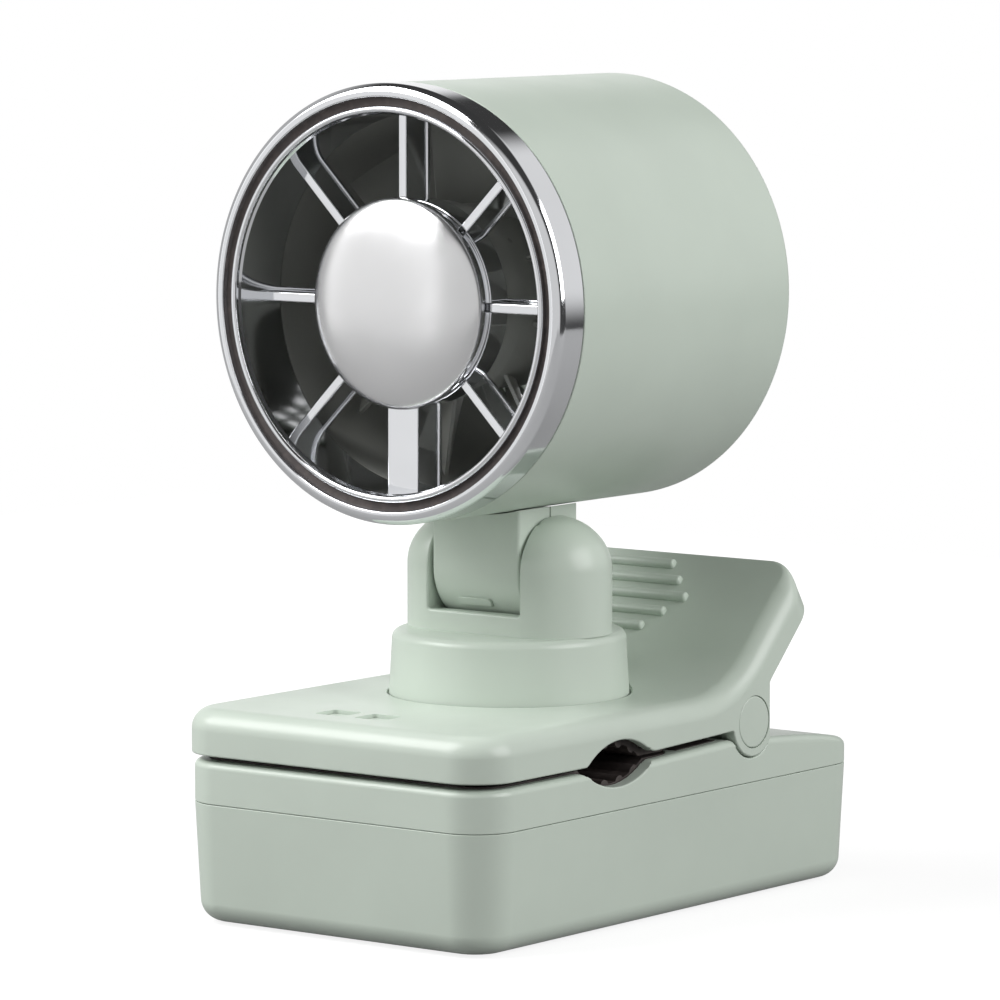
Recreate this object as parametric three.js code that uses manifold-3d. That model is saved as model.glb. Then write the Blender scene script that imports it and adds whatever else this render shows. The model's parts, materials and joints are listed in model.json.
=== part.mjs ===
// Clip fan: a drum-shaped fan head on a tilting neck and a pan turntable, carried by a sprung clip
// whose lower half is the battery base. Millimetres, +Z up, the fan faces -Y. The origin lies on
// the resting plane, under the pan axis.

import * as THREE from "three";
import { mergeVertices } from "three/addons/utils/BufferGeometryUtils.js";
import Module from "manifold-3d";

const wasm = await Module();
wasm.setup();

// ---------------------------------------------------------------- driving dimensions (mm)

const GAP = 0.3; // clearance between pieces that seat on each other or run past each other
const OVERLAP = 1; // how far two solids that become one run into each other
const SHELL_WALL = 2.2; // wall of the moulded shells
const SCREW_R = 1.1;
const SCREW_HEAD_R = 2.3;
const SCREW_HEAD_H = 1.1;
const POST_R = 2.8; // posts that take the small screws

// Battery base
const BASE_SETBACK = 0.4; // sides of the base behind the jaw's sides
const BASE_FRONT_SETBACK = 0.5;
const BASE_REAR_Y = 73.2;
const BASE_CORNER_R = 10;
const BASE_EDGE_R = 4.3;
const BASE_DRAFT = THREE.MathUtils.degToRad(3);
const TUB_HEIGHT = 25.1;
const COVER_HEIGHT = 8.7;
const COVER_EDGE_R = 1.5;
const COVER_CREST = 0.9; // rise of the cover in front of the hinge
const COVER_CREST_RUN = 25; // length of that rise
const COVER_CREST_LAND = 2; // flat between the rise and the hinge
const COVER_FALL = 2.6; // fall of the cover towards the rear
const LIP_DEPTH = 2.5; // lip of the cover that drops into the tub
const LIP_WALL = 1.2;

// Rubber pad under the base
const FOOT_PROUD = 0.4;
const FOOT_THICK = 1.2;
const FOOT_MARGIN_X = 7.7; // from the sides of the base to the sides of the pad
const FOOT_MARGIN_Y = 8.2; // from the ends of the base to the ends of the pad
const FOOT_CORNER_R = 8;

// Inside the base
const CELL_R = 9.2;
const CELL_LENGTH = 65.2;
const CELL_NUB_R = 3.2;
const CELL_NUB_LENGTH = 1;
const CELL_FIRST_Y = -35;
const CELL_PITCH = 20;
const CRADLE_HEIGHT = 6;
const CRADLE_THICK = 2.4;
const CRADLE_REACH = 0.5; // of the cradle past the cells
const CRADLE_INSET = 8; // from a cell's end to the middle of its cradle
const BASE_POST_INSET_X = 11.7;
const BASE_POST_INSET_Y = 12; // from the ends of the base to the screw posts
const BASE_POST_R = 3.6;
const BASE_POST_TOP = 16; // height at which tub and cover posts meet
const BASE_SCREW_GRIP = 6; // of the base screws in the cover's posts
const BOARD_HALF_X = 22;
const BOARD_FRONT_Y = 30;
const BOARD_THICK = 1.6;
const BOARD_LIFT = 6; // underside of the main board over the tub's floor
const BOARD_POST_INSET = 8.8; // from the board's rear edge to its rear posts
const PORT_WIDTH = 9;
const PORT_HEIGHT = 3.3;
const PORT_DEPTH = 7.4;
const PORT_SHELL = 0.4;
const PORT_TONGUE_HALF_X = 3.2;
const PORT_TONGUE_THICK = 0.7;

// Jaws
const JAW_GAP = 1.3; // between the plastic faces of the closed jaws
const JAW_HALF_X = 40.6;
const JAW_FRONT_Y = -61.5;
const JAW_DEPTH = 9.5;
const JAW_EDGE_R = 4.5;
const JAW_INNER_EDGE = 1.5; // share of the wall by which the inner edge radius is smaller
const JAW_CORNER_R = 10;
const JAW_RISE = 1.6; // rise of the jaw's lower rim towards the hinge
const NOTCH_Y = -15.5; // middle of the notch for a bar
const NOTCH_UPPER_R = 17;
const NOTCH_UPPER_DEPTH = 4.4;
const NOTCH_LOWER_R = 19.6;
const NOTCH_LOWER_DEPTH = 3.9;
const PAD_THICK = 1.5;
const PAD_PROUD = 0.35;
const PAD_INSET_X = 3.4; // from the jaw's sides to the pads
const PAD_FRONT_INSET = 4;
const PAD_REAR_Y = 8;
const PAD_CORNER_R = 6;
const PAD_RIB = 0.6; // height of the ribs in the notch
const RECESS_WALL = 1.8; // of the cover under the pad and under the trough of the hinge
const LINER_THICK = 1.4;

// Hinge of the clip
const HINGE_Y = 31.8;
const HINGE_RISE = 4.1; // hinge axis over the flat top of the cover
const LUG_R = 7.35;
const LUG_THICK = 4;
const PIN_R = 1.75;
const CAP_R = 5.45;
const CAP_THICK = 1.3;
const EAR_R = 3.6;
const EAR_INSET = 3.1; // from the lugs to the middle of the cover's ears
const EAR_THICK = 4;
const SPRING_X = 18;
const SPRING_R = 3.1;
const SPRING_WIRE_R = 0.5;
const SPRING_TURNS = 5;
const SPRING_PITCH = 1.35;
const SPRING_START_ANGLE = THREE.MathUtils.degToRad(-110);
const SPRING_END_ANGLE = THREE.MathUtils.degToRad(150);
const SPRING_LOWER_LEG = 5.6;
const SPRING_UPPER_LEG = 12;

// Lever
const LEVER_TURN_R = 28; // fillet between the jaw's top and the lever
const LEVER_TURN_Y = 13.2; // where that fillet starts
const LEVER_LEAD = 8; // straight stretch ahead of that fillet
const LEVER_LENGTH = 24.2; // straight slope above the fillet
const LEVER_BACK_Y = 37.8; // rear wall over the hinge
const LEVER_BACK_Z = 1.2; // top of the rear wall over the jaw's top
const LEVER_OUTER = 19.6; // straight length of the lever's rear face
const LEVER_CORNER_R = 9;
const LEVER_TIP_R = 2.6; // rounding of the slope into the lever's end
const LEVER_END_LEAN = 0.1; // of the lever's end per unit of length past its rear face
const LEVER_END_RISE = 1.35;
const LEVER_PLATE = 2;
const LEVER_POST = 5;
const LEVER_SCREW_X = 24;
const LEVER_SCREW_S = 8; // along the rear face
const GRIP_RIB_R = 0.9;
const GRIP_PITCH = 4.25;
const GRIP_FIRST_S = 3.6; // first rib above the start of the slope
const GRIP_HALF_LENGTHS = [9.1, 12.7, 16.3, 12.6, 8.8];

// Button and window on the jaw
const KEY_Y = -47.75;
const KEY_HALF_X = 3.4;
const KEY_HALF_Y = 3.15;
const BUTTON_X = -7.6;
const WINDOW_X = 2.75;
const BUTTON_STROKE = 0.5;
const KEY_FLANGE = 0.8;
const KEY_BOARD_THICK = 1;
const KEY_BOARD_MARGIN = 5;
const SWITCH_HALF = 2.2;
const SWITCH_HEIGHT = 1;
const LED_HALF = 1.2;
const LED_HEIGHT = 0.8;
const JAW_POST_INSET_X = 10.6;
const JAW_POST_INSET_Y = 10.5;
const JAW_POST_REAR_Y = 14;

// Turntable and yoke
const TURN_R = 25.25;
const TURN_TOP_R = 24.6;
const TURN_RISE = 13.3; // top of the turntable over the jaw's top
const TURN_WALL = 2.2;
const TURN_TOP_WALL = 2.5;
const TURN_EDGE_R = 1.8;
const TURN_SINK = 0.8; // depth of its recess in the jaw
const TURN_MOAT = 0.6; // width of the gap round it
const PAN_POST_R = 6;
const PAN_POST_PROUD = 0.2; // end of the post under its seat
const PAN_SCREW_LENGTH = 7;
const PAN_BOSS_WALL = 2.7;
const PAN_BOSS_RISE = 8;
const PAN_WASHER_R = 8;
const PAN_WASHER_THICK = 0.8;
const YOKE_HALF_X = 23.8;
const YOKE_R = 12.4; // ends of its stadium plan
const YOKE_SLOT_HALF_X = 11.9;
const YOKE_FLOOR_RISE = 4.4; // front edge of the slot's floor over the turntable
const YOKE_SCREW_INSET = 7.4; // from the ends of the yoke to its screws
const YOKE_SCREW_GRIP = 5;
const TILT_RISE = 13.3; // tilt axis over the turntable's top
const EAR_TOP_R = 11.2;
const AXLE_R = 2.5;
const AXLE_SEAT = 6; // length of the axle in each ear
const BUSH_WALL = 1.6;
const PLUG_R = 3.4;
const PLUG_SINK = 0.25; // of the plug's face in the yoke's side

// Neck
const NECK_HALF_X = 11.4;
const NECK_R = 11.7;
const NECK_REAR_Y = 8.7;
const NECK_SEAM_Y = -0.8;
const NECK_SCREW_FRONT_Y = -6.3;
const NECK_SCREW_REAR_Y = 4.6;
const NECK_SCREW_LENGTH = 6;
const NECK_BAR_HALF_X = 4.55;
const NECK_BAR_HEIGHT = 1.7;
const NECK_BAR_DROP = 6.9; // below the tilt axis
const NECK_BAR_PROUD = 0.35;

// Head
const HEAD_R = 45;
const HEAD_DROP = 12; // tilt axis to the underside of the drum
const DRUM_FRONT_Y = -34.2;
const DRUM_REAR_Y = 38.7;
const DRUM_WALL = 2;
const DRUM_EDGE_R = 1.8;
const DUCT_ANNULUS = 4.35; // room between the drum's wall and the inside of the air duct
const DUCT_WALL = 1.4;
const DUCT_RIBS = 3;
const DUCT_RIB_THICK = 1.6;
const DUCT_RIB_INSET = 4; // from the duct's ends
const BEZEL_FRONT_Y = -42.7;
const BEZEL_BEAD = 3.2; // width of the ring's outer bead
const BEZEL_GROOVE_WIDTH = 0.5;
const BEZEL_LAND = 0.55; // flat inside the inner bead
const BEZEL_LAND_SETBACK = 2.4;
const BEZEL_OUTER_SETBACK = 0.5; // outer bead behind the inner one
const BEZEL_BEAD_FLATNESS = 1.1;
const BEZEL_WEB_DEPTH = 4.2;
const SPIGOT_LENGTH = 3.7;
const SLEEVE_REAR_Y = -28.3;
const SLEEVE_WALL = 1.2;
const SPOKE_COUNT = 8;
const SPOKE_WIDTH = 2;
const WIDE_SPOKE_WIDTH = 7.9;
const SPOKE_FRONT_Y = -36;
const SPOKE_DEPTH = 7.6;
const BARREL_R = 20.5;
const BARREL_WALL = 1.5;
const BARREL_FRONT_Y = -36.9;
const BARREL_REAR_Y = -22;
const WEB_Y = -34;
const WEB_THICK = 1.5;
const WEB_BORE_R = 3.2;
const DOME_OVERHANG = 1.2; // of the dome over the barrel
const DOME_BULGE = 4.6;
const DOME_WALL = 1.2;
const REAR_HUB_R = 11;
const REAR_RING_R = 24.5;
const REAR_RIB = 1.5;
const REAR_THICK = 2.4;
const REAR_SINK = 1;
const REAR_SPOKES = 18;
const REAR_SPOKE_SINK = 0.2; // spokes behind the faces of the rings

// Motor and rotor
const BLADE_COUNT = 9;
const BLADE_ROOT_SINK = 1; // of the blades in the hub
const TIP_GAP = 1.3; // blade tips to the duct
const BLADE_THICK = 1.3;
const BLADE_MID_Y = -9.5;
const BLADE_ROOT_CHORD = 19;
const BLADE_TIP_CHORD = 21;
const BLADE_ROOT_PITCH = THREE.MathUtils.degToRad(52);
const BLADE_TIP_PITCH = THREE.MathUtils.degToRad(36);
const BLADE_CAMBER = 1.6;
const ROTOR_HUB_SETBACK = 1.1; // of the hub's side behind the barrel's side
const ROTOR_HUB_WALL = 1.5;
const ROTOR_REAR_Y = 1.5;
const ROTOR_FRONT_GAP = 0.6; // between the barrel of the grille and the hub
const ROTOR_EDGE = 2;
const ROTOR_BOSS_WALL = 2;
const ROTOR_BOSS_GAP = 1;
const MOUNT_R = 13;
const MOUNT_THICK = 1.5;
const TUBE_R = 4.5;
const TUBE_WALL = 1.2;
const TUBE_REAR_Y = -5;
const STATOR_FRONT_Y = -18;
const STATOR_LENGTH = 9;
const STATOR_TEETH = 9;
const STATOR_SLOT = 2.2;
const STATOR_CORE = 3.6; // ring of the stator under its slots
const SHAFT_R = 1.2;
const BEARING_LENGTH = 3;
const MAGNET_WALL = 2.4;
const MOTOR_AIR_GAP = 1.6; // between the stator and the magnets
const MAGNET_REACH = 1.5; // of the magnets past the stator's ends
const BEARING_INSET = 0.8; // from the tube's ends

// Round facets
const FINE = 32;
const MEDIUM = 20;
const SMALL = 12;

// ---------------------------------------------------------------- levels worked out from them

const BASE_HALF_X = JAW_HALF_X - BASE_SETBACK;
const BASE_FRONT_Y = JAW_FRONT_Y + BASE_FRONT_SETBACK;
const FOOT_HALF_X = BASE_HALF_X - FOOT_MARGIN_X;
const BASE_POST_X = BASE_HALF_X - BASE_POST_INSET_X;
const PAD_HALF_X = JAW_HALF_X - PAD_INSET_X;
const EAR_X = JAW_HALF_X - LUG_THICK - EAR_INSET;
const JAW_POST_X = JAW_HALF_X - JAW_POST_INSET_X;
const JAW_POST_FRONT_Y = JAW_FRONT_Y + JAW_POST_INSET_Y;
const DUCT_R = HEAD_R - DRUM_WALL - DUCT_ANNULUS;
const BEZEL_GROOVE_R = HEAD_R - BEZEL_BEAD;
const DOME_R = BARREL_R + DOME_OVERHANG;
const ROTOR_HUB_R = BARREL_R - ROTOR_HUB_SETBACK;
const BLADE_ROOT_R = ROTOR_HUB_R - BLADE_ROOT_SINK;
const MAGNET_OUTER_R = ROTOR_HUB_R - ROTOR_HUB_WALL - GAP;
const STATOR_R = MAGNET_OUTER_R - MAGNET_WALL - MOTOR_AIR_GAP;
const TUB_BOTTOM_Z = FOOT_PROUD;
const TUB_FLOOR_Z = TUB_BOTTOM_Z + SHELL_WALL;
const SEAM_Z = TUB_BOTTOM_Z + TUB_HEIGHT;
const COVER_Z = SEAM_Z + COVER_HEIGHT;
const JAW_Z = COVER_Z + JAW_GAP;
const JAW_TOP_Z = JAW_Z + JAW_DEPTH;
const HINGE_Z = COVER_Z + HINGE_RISE;
const TROUGH_R = LUG_R + GAP;
const PAD_BACK = PAD_THICK - PAD_PROUD; // how deep a pad sits behind the jaw's face
const LINER_Z = JAW_Z + PAD_BACK + GAP;
const JAW_CEILING_Z = JAW_TOP_Z - SHELL_WALL;
const TURN_TOP_Z = JAW_TOP_Z + TURN_RISE;
const TILT_Z = TURN_TOP_Z + TILT_RISE;
const HEAD_Z = TILT_Z + HEAD_DROP + HEAD_R;
const SLOPE_Y = LEVER_TURN_Y + LEVER_TURN_R * Math.SQRT1_2; // where the lever's slope starts
const SLOPE_Z = JAW_TOP_Z + LEVER_TURN_R * (1 - Math.SQRT1_2);

// ---------------------------------------------------------------- finishes

const finish = (color, roughness, metalness = 0) =>
  new THREE.MeshStandardMaterial({ color, roughness, metalness });

const SAGE = finish(0xc6d1c5, 0.42);
const SAGE_DARK = finish(0x9fab9f, 0.5);
const CHROME = finish(0xd8dadd, 0.06, 1);
const SATIN = finish(0xc9c9c7, 0.3, 1);
const RUBBER = finish(0x1d1917, 0.85);
const STEEL = finish(0xa9acb0, 0.3, 1);
const COPPER = finish(0xa8602c, 0.4, 1);
const BOARD = finish(0x1f5b38, 0.5);
const CELL_WRAP = finish(0x3d6fa8, 0.4);
const NYLON = finish(0xe9e7df, 0.5);
const LENS = finish(0xe8efe6, 0.15);
const MAGNET = finish(0x3a3a3d, 0.6, 0.6);

// ---------------------------------------------------------------- outlines

const point = (x, y) => new THREE.Vector2(x, y);

function arc(cx, cy, r, fromDeg, toDeg, steps) {
  const points = [];
  for (let i = 0; i <= steps; i++) {
    const a = THREE.MathUtils.degToRad(fromDeg + ((toDeg - fromDeg) * i) / steps);
    points.push(point(cx + r * Math.cos(a), cy + r * Math.sin(a)));
  }
  return points;
}

const circle = (cx, cy, r, steps) => arc(cx, cy, r, 0, 360, steps).slice(0, -1);

// A polygon with rounded corners, each corner given as [x, y, radius].
function rounded(corners, steps = 4) {
  return corners.flatMap(([x, y, r = 0], i) => {
    const here = point(x, y);
    if (!r) return [here];
    const [px, py] = corners.at(i - 1);
    const [nx, ny] = corners[(i + 1) % corners.length];
    const back = point(px, py).sub(here).normalize();
    const ahead = point(nx, ny).sub(here).normalize();
    const half = back.angleTo(ahead) / 2;
    const centre = back.clone().add(ahead).setLength(r / Math.sin(half)).add(here);
    const start = back.setLength(r / Math.tan(half)).add(here).sub(centre);
    const end = ahead.setLength(r / Math.tan(half)).add(here).sub(centre);
    const turn = Math.sign(start.cross(end)) * (Math.PI - 2 * half);
    const points = [];
    for (let k = 0; k <= steps; k++)
      points.push(start.clone().rotateAround(point(0, 0), (turn * k) / steps).add(centre));
    return points;
  });
}

const rectangle = (x0, x1, y0, y1, r = 0, steps = 4) =>
  rounded([[x0, y0, r], [x1, y0, r], [x1, y1, r], [x0, y1, r]], steps);

// ---------------------------------------------------------------- solids

// A closed geometry as a solid, with its faces turned outwards.
function solid(geometry) {
  geometry.deleteAttribute("normal");
  geometry.deleteAttribute("uv");
  const merged = mergeVertices(geometry, 1e-4);
  const corners = merged.index.array;
  const kept = [];
  for (let i = 0; i < corners.length; i += 3) {
    const [a, b, c] = corners.slice(i, i + 3);
    if (a !== b && b !== c && c !== a) kept.push(a, b, c);
  }
  const make = (indices) =>
    new wasm.Manifold(
      new wasm.Mesh({
        numProp: 3,
        vertProperties: merged.attributes.position.array,
        triVerts: new Uint32Array(indices),
      }),
    );
  const made = make(kept);
  return made.volume() > 0 ? made : make(kept.reverse());
}

function extrusion(outline, depth) {
  return new THREE.ExtrudeGeometry(new THREE.Shape(outline), { depth, bevelEnabled: false });
}

const YZ_ALONG_X = new THREE.Matrix4().makeBasis(
  new THREE.Vector3(0, 1, 0),
  new THREE.Vector3(0, 0, 1),
  new THREE.Vector3(1, 0, 0),
);

// Outlines in (y, z), (x, z) and (x, y), extruded along the remaining axis.
const alongX = (outline, x0, x1) =>
  solid(extrusion(outline, x1 - x0).applyMatrix4(YZ_ALONG_X).translate(x0, 0, 0));
const alongY = (outline, y0, y1) =>
  solid(extrusion(outline, y1 - y0).rotateX(Math.PI / 2).translate(0, y1, 0));
const alongZ = (outline, z0, z1) => solid(extrusion(outline, z1 - z0).translate(0, 0, z0));

// Profiles of (radius, height) turned about Y or Z; they close on themselves or on the axis.
const close = (profile) =>
  profile[0].x || profile.at(-1).x ? [...profile, profile[0].clone()] : profile;
const turnedY = (profile, steps) => solid(new THREE.LatheGeometry(close(profile), steps));
const turnedZ = (profile, steps) =>
  solid(new THREE.LatheGeometry(close(profile), steps).rotateX(Math.PI / 2));
const profileOf = (pairs) => pairs.map(([x, y]) => point(x, y));

// A ring of revolution with a square section.
const tube = (inner, outer, from, to) =>
  profileOf([[inner, from], [outer, from], [outer, to], [inner, to]]);

// A skin over rings of equal length. Each ring mirrors itself in X, and its cap joins the mirrored
// points.
function loft(rings) {
  const n = rings[0].length;
  const faces = [];
  rings.slice(1).forEach((_, k) => {
    for (let i = 0; i < n; i++) {
      const a = k * n + i;
      const b = k * n + ((i + 1) % n);
      faces.push(a, b, b + n, a, b + n, a + n);
    }
  });
  const last = (rings.length - 1) * n;
  for (let i = 0; i < n / 2 - 1; i++) {
    const [a, b, c, d] = [i, i + 1, n - 2 - i, n - 1 - i];
    faces.push(b, a, d, b, d, c);
    faces.push(last + a, last + b, last + c, last + a, last + c, last + d);
  }
  const geometry = new THREE.BufferGeometry();
  const values = new Float32Array(rings.flat().flatMap((p) => p.toArray()));
  geometry.setAttribute("position", new THREE.BufferAttribute(values, 3));
  geometry.setIndex(faces);
  return solid(geometry);
}

// A named mesh of a solid, with its own finish.
function piece(name, body, material) {
  const { vertProperties, triVerts } = body.getMesh();
  const geometry = new THREE.BufferGeometry();
  geometry.setAttribute("position", new THREE.BufferAttribute(vertProperties, 3));
  geometry.setIndex(new THREE.BufferAttribute(triVerts, 1));
  geometry.computeVertexNormals();
  const mesh = new THREE.Mesh(geometry, material);
  mesh.name = name;
  return mesh;
}

function placed(mesh, x, y, z) {
  mesh.position.set(x, y, z);
  return mesh;
}

const joined = (...bodies) => bodies.reduce((a, b) => a.add(b));
const cut = (body, ...tools) => tools.reduce((a, b) => a.subtract(b), body);
const SIDES = [["left", -1], ["right", 1]];

// ---------------------------------------------------------------- fasteners and rods

const rodX = (y, z, r, x0, x1, steps = SMALL) => alongX(circle(y, z, r, steps), x0, x1);
const rodY = (x, z, r, y0, y1, steps = SMALL) => alongY(circle(x, z, r, steps), y0, y1);
const rodZ = (x, y, r, z0, z1, steps = SMALL) => alongZ(circle(x, y, r, steps), z0, z1);

// A screw along +Z with its head below z = 0 and a hexagonal socket in the head.
function screw(length) {
  const socket = rodZ(0, 0, SCREW_HEAD_R * 0.5, -SCREW_HEAD_H - 1, -SCREW_HEAD_H * 0.4, 6);
  const head = rodZ(0, 0, SCREW_HEAD_R, -SCREW_HEAD_H, 0.01);
  return cut(head.add(rodZ(0, 0, SCREW_R, 0, length, 8)), socket);
}

// ---------------------------------------------------------------- base

// Height of the cover's top face at a given y.
function coverTop(y) {
  const crestY = HINGE_Y - TROUGH_R - COVER_CREST_LAND;
  const flatY = crestY - COVER_CREST_RUN;
  const rearY = HINGE_Y + TROUGH_R;
  if (y < flatY) return COVER_Z;
  if (y < crestY) return COVER_Z + (COVER_CREST * (y - flatY)) / (crestY - flatY);
  if (y < rearY) return COVER_Z + COVER_CREST;
  return COVER_Z + COVER_CREST - ((COVER_CREST + COVER_FALL) * (y - rearY)) / (BASE_REAR_Y - rearY);
}

// Right half of the base's plan from front to rear, with stations where the top changes slope.
function basePlan(inset) {
  const half = BASE_HALF_X - inset;
  const front = BASE_FRONT_Y + inset;
  const rear = BASE_REAR_Y - inset;
  const r = Math.max(BASE_CORNER_R - inset, 1.5);
  const crestY = HINGE_Y - TROUGH_R - COVER_CREST_LAND;
  const side = [crestY - COVER_CREST_RUN, crestY, HINGE_Y + TROUGH_R].map((y) => point(half, y));
  return [
    ...arc(half - r, front + r, r, -90, 0, 5),
    ...side,
    ...arc(half - r, rear - r, r, 0, 90, 5),
  ];
}

function baseRing(inset, heightAt) {
  const right = basePlan(inset).map((p) => new THREE.Vector3(p.x, p.y, heightAt(p.y)));
  const left = right.map((p) => new THREE.Vector3(-p.x, p.y, p.z)).reverse();
  return [...right, ...left];
}

const draftAt = (z) => (SEAM_Z - z) * Math.tan(BASE_DRAFT);

function tubOuter() {
  const rings = [];
  for (let a = 0; a <= 90; a += 22.5) {
    const t = THREE.MathUtils.degToRad(a);
    const z = TUB_BOTTOM_Z + BASE_EDGE_R * (1 - Math.cos(t));
    rings.push(baseRing(draftAt(z) + BASE_EDGE_R * (1 - Math.sin(t)), () => z));
  }
  rings.push(baseRing(0, () => SEAM_Z - GAP));
  return loft(rings);
}

function tubInner() {
  const low = TUB_FLOOR_Z;
  const high = SEAM_Z + 1;
  const inset = SHELL_WALL + draftAt(low) + 1.5;
  return loft([
    baseRing(inset, () => low),
    baseRing(inset - 1.5, () => low + 2),
    baseRing(SHELL_WALL, () => high),
  ]);
}

const basePosts = SIDES.flatMap(([side, s]) => [
  [`front_${side}`, s * BASE_POST_X, BASE_FRONT_Y + BASE_POST_INSET_Y],
  [`rear_${side}`, s * BASE_POST_X, BASE_REAR_Y - BASE_POST_INSET_Y],
]);

const footOutline = (grow) =>
  rectangle(
    -FOOT_HALF_X - grow,
    FOOT_HALF_X + grow,
    BASE_FRONT_Y + FOOT_MARGIN_Y - grow,
    BASE_REAR_Y - FOOT_MARGIN_Y + grow,
    FOOT_CORNER_R + grow,
  );

const FOOT_TOP_Z = FOOT_THICK;
const TUB_SCREW_Z = FOOT_TOP_Z + GAP + SCREW_HEAD_H; // shoulder under the screw's head
const BOARD_Z = TUB_FLOOR_Z + BOARD_LIFT;
const PORT_Z = BOARD_Z + BOARD_THICK + GAP + PORT_HEIGHT / 2;
const CELL_Z = TUB_FLOOR_Z + GAP + CELL_R;
const PORT_REAR_Y = BASE_REAR_Y - draftAt(PORT_Z) - 0.5;
const BOARD_REAR_Y = PORT_REAR_Y - SHELL_WALL - GAP;

function lowerShell() {
  let shell = cut(tubOuter(), tubInner());
  for (const [, x, y] of basePosts)
    shell = shell.add(rodZ(x, y, BASE_POST_R, TUB_FLOOR_Z - OVERLAP, BASE_POST_TOP));
  const cradleY0 = CELL_FIRST_Y - CELL_R - CRADLE_REACH;
  const cradleY1 = CELL_FIRST_Y + CELL_PITCH + CELL_R + CRADLE_REACH;
  for (const [, s] of SIDES) {
    const x = s * (CELL_LENGTH / 2 - CRADLE_INSET);
    const rib = rectangle(cradleY0, cradleY1, TUB_FLOOR_Z - OVERLAP, TUB_FLOOR_Z + CRADLE_HEIGHT);
    shell = shell.add(alongX(rib, x - CRADLE_THICK / 2, x + CRADLE_THICK / 2));
    const postX = s * (BOARD_HALF_X - POST_R);
    for (const y of [BOARD_FRONT_Y + POST_R, BOARD_REAR_Y - BOARD_POST_INSET])
      shell = shell.add(rodZ(postX, y, POST_R, TUB_FLOOR_Z - OVERLAP, BOARD_Z - GAP));
  }
  for (const i of [0, 1]) {
    const y = CELL_FIRST_Y + i * CELL_PITCH;
    const reach = CELL_LENGTH / 2 + GAP;
    shell = shell.subtract(rodX(y, CELL_Z, CELL_R + GAP, -reach, reach, MEDIUM));
  }
  for (const [, x, y] of basePosts) {
    shell = cut(
      shell,
      rodZ(x, y, SCREW_HEAD_R + GAP, -1, TUB_SCREW_Z + GAP),
      rodZ(x, y, SCREW_R + GAP, 0, BASE_POST_TOP + 1),
    );
  }
  const mouth = rectangle(
    -PORT_WIDTH / 2 - GAP,
    PORT_WIDTH / 2 + GAP,
    PORT_Z - PORT_HEIGHT / 2 - GAP,
    PORT_Z + PORT_HEIGHT / 2 + GAP,
    PORT_HEIGHT / 2,
  );
  return cut(
    shell,
    alongZ(footOutline(GAP), -1, FOOT_TOP_Z + GAP),
    alongY(mouth, PORT_REAR_Y - PORT_DEPTH, BASE_REAR_Y + 1),
  );
}

function usbPort() {
  const outline = (shrink) =>
    rectangle(
      -PORT_WIDTH / 2 + shrink,
      PORT_WIDTH / 2 - shrink,
      PORT_Z - PORT_HEIGHT / 2 + shrink,
      PORT_Z + PORT_HEIGHT / 2 - shrink,
      PORT_HEIGHT / 2 - shrink - 0.05,
    );
  const front = PORT_REAR_Y - PORT_DEPTH;
  const half = PORT_TONGUE_THICK / 2;
  const tongue = rectangle(-PORT_TONGUE_HALF_X, PORT_TONGUE_HALF_X, PORT_Z - half, PORT_Z + half);
  const can = alongY(outline(0), front, PORT_REAR_Y);
  return joined(
    cut(can, alongY(outline(PORT_SHELL), front + 1, PORT_REAR_Y + 1)),
    alongY(tongue, front + 0.5, PORT_REAR_Y - 1.2),
  );
}

// Outline (y, z) of a pad or a recess that dips into the notch of the lower jaw: from its top face
// down to its back face, with ribs on the top if they are asked for.
function dipOutline(frontY, rearY, topZ, topR, backZ, backR, ribs) {
  const centreZ = COVER_Z - NOTCH_LOWER_DEPTH + NOTCH_LOWER_R;
  return archOutline(frontY, rearY, topZ, topR, backZ, backR, centreZ, ribs, -1);
}

// The same for the upper jaw, whose arch bends upwards.
function archedOutline(frontY, rearY, faceZ, faceR, backZ, backR, ribs) {
  const centreZ = JAW_Z + NOTCH_UPPER_DEPTH - NOTCH_UPPER_R;
  return archOutline(frontY, rearY, faceZ, faceR, backZ, backR, centreZ, ribs, 1);
}

function archOutline(frontY, rearY, faceZ, faceR, backZ, backR, centreZ, ribs, bend) {
  const run = (z, r, count, rib) => {
    const half = Math.acos(Math.min(1, (bend * (z - centreZ)) / r));
    const points = [];
    for (let i = 0; i <= count; i++) {
      const a = half * ((2 * i) / count - 1);
      const bump = rib && i > 0 && i < count && i % 4 >= 2 ? rib : 0;
      points.push(point(NOTCH_Y + r * Math.sin(a), centreZ + bend * (r - bump) * Math.cos(a)));
    }
    return points;
  };
  return [
    point(frontY, faceZ),
    ...run(faceZ, faceR, ribs ? 25 : 10, ribs),
    point(rearY, faceZ),
    point(rearY, backZ),
    ...run(backZ, backR, 10, 0).reverse(),
    point(frontY, backZ),
  ];
}

const PAD_FRONT_Y = BASE_FRONT_Y + PAD_FRONT_INSET;
const padPlan = (grow) =>
  rectangle(
    -PAD_HALF_X - grow,
    PAD_HALF_X + grow,
    PAD_FRONT_Y - grow,
    PAD_REAR_Y + grow,
    PAD_CORNER_R + grow,
  );

function lowerPad() {
  const outline = dipOutline(
    PAD_FRONT_Y,
    PAD_REAR_Y,
    COVER_Z + PAD_PROUD,
    NOTCH_LOWER_R - GAP,
    COVER_Z - PAD_BACK,
    NOTCH_LOWER_R - GAP + PAD_THICK,
    PAD_RIB,
  );
  return alongX(outline, -PAD_HALF_X, PAD_HALF_X).intersect(alongZ(padPlan(0), 0, JAW_TOP_Z));
}

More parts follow.
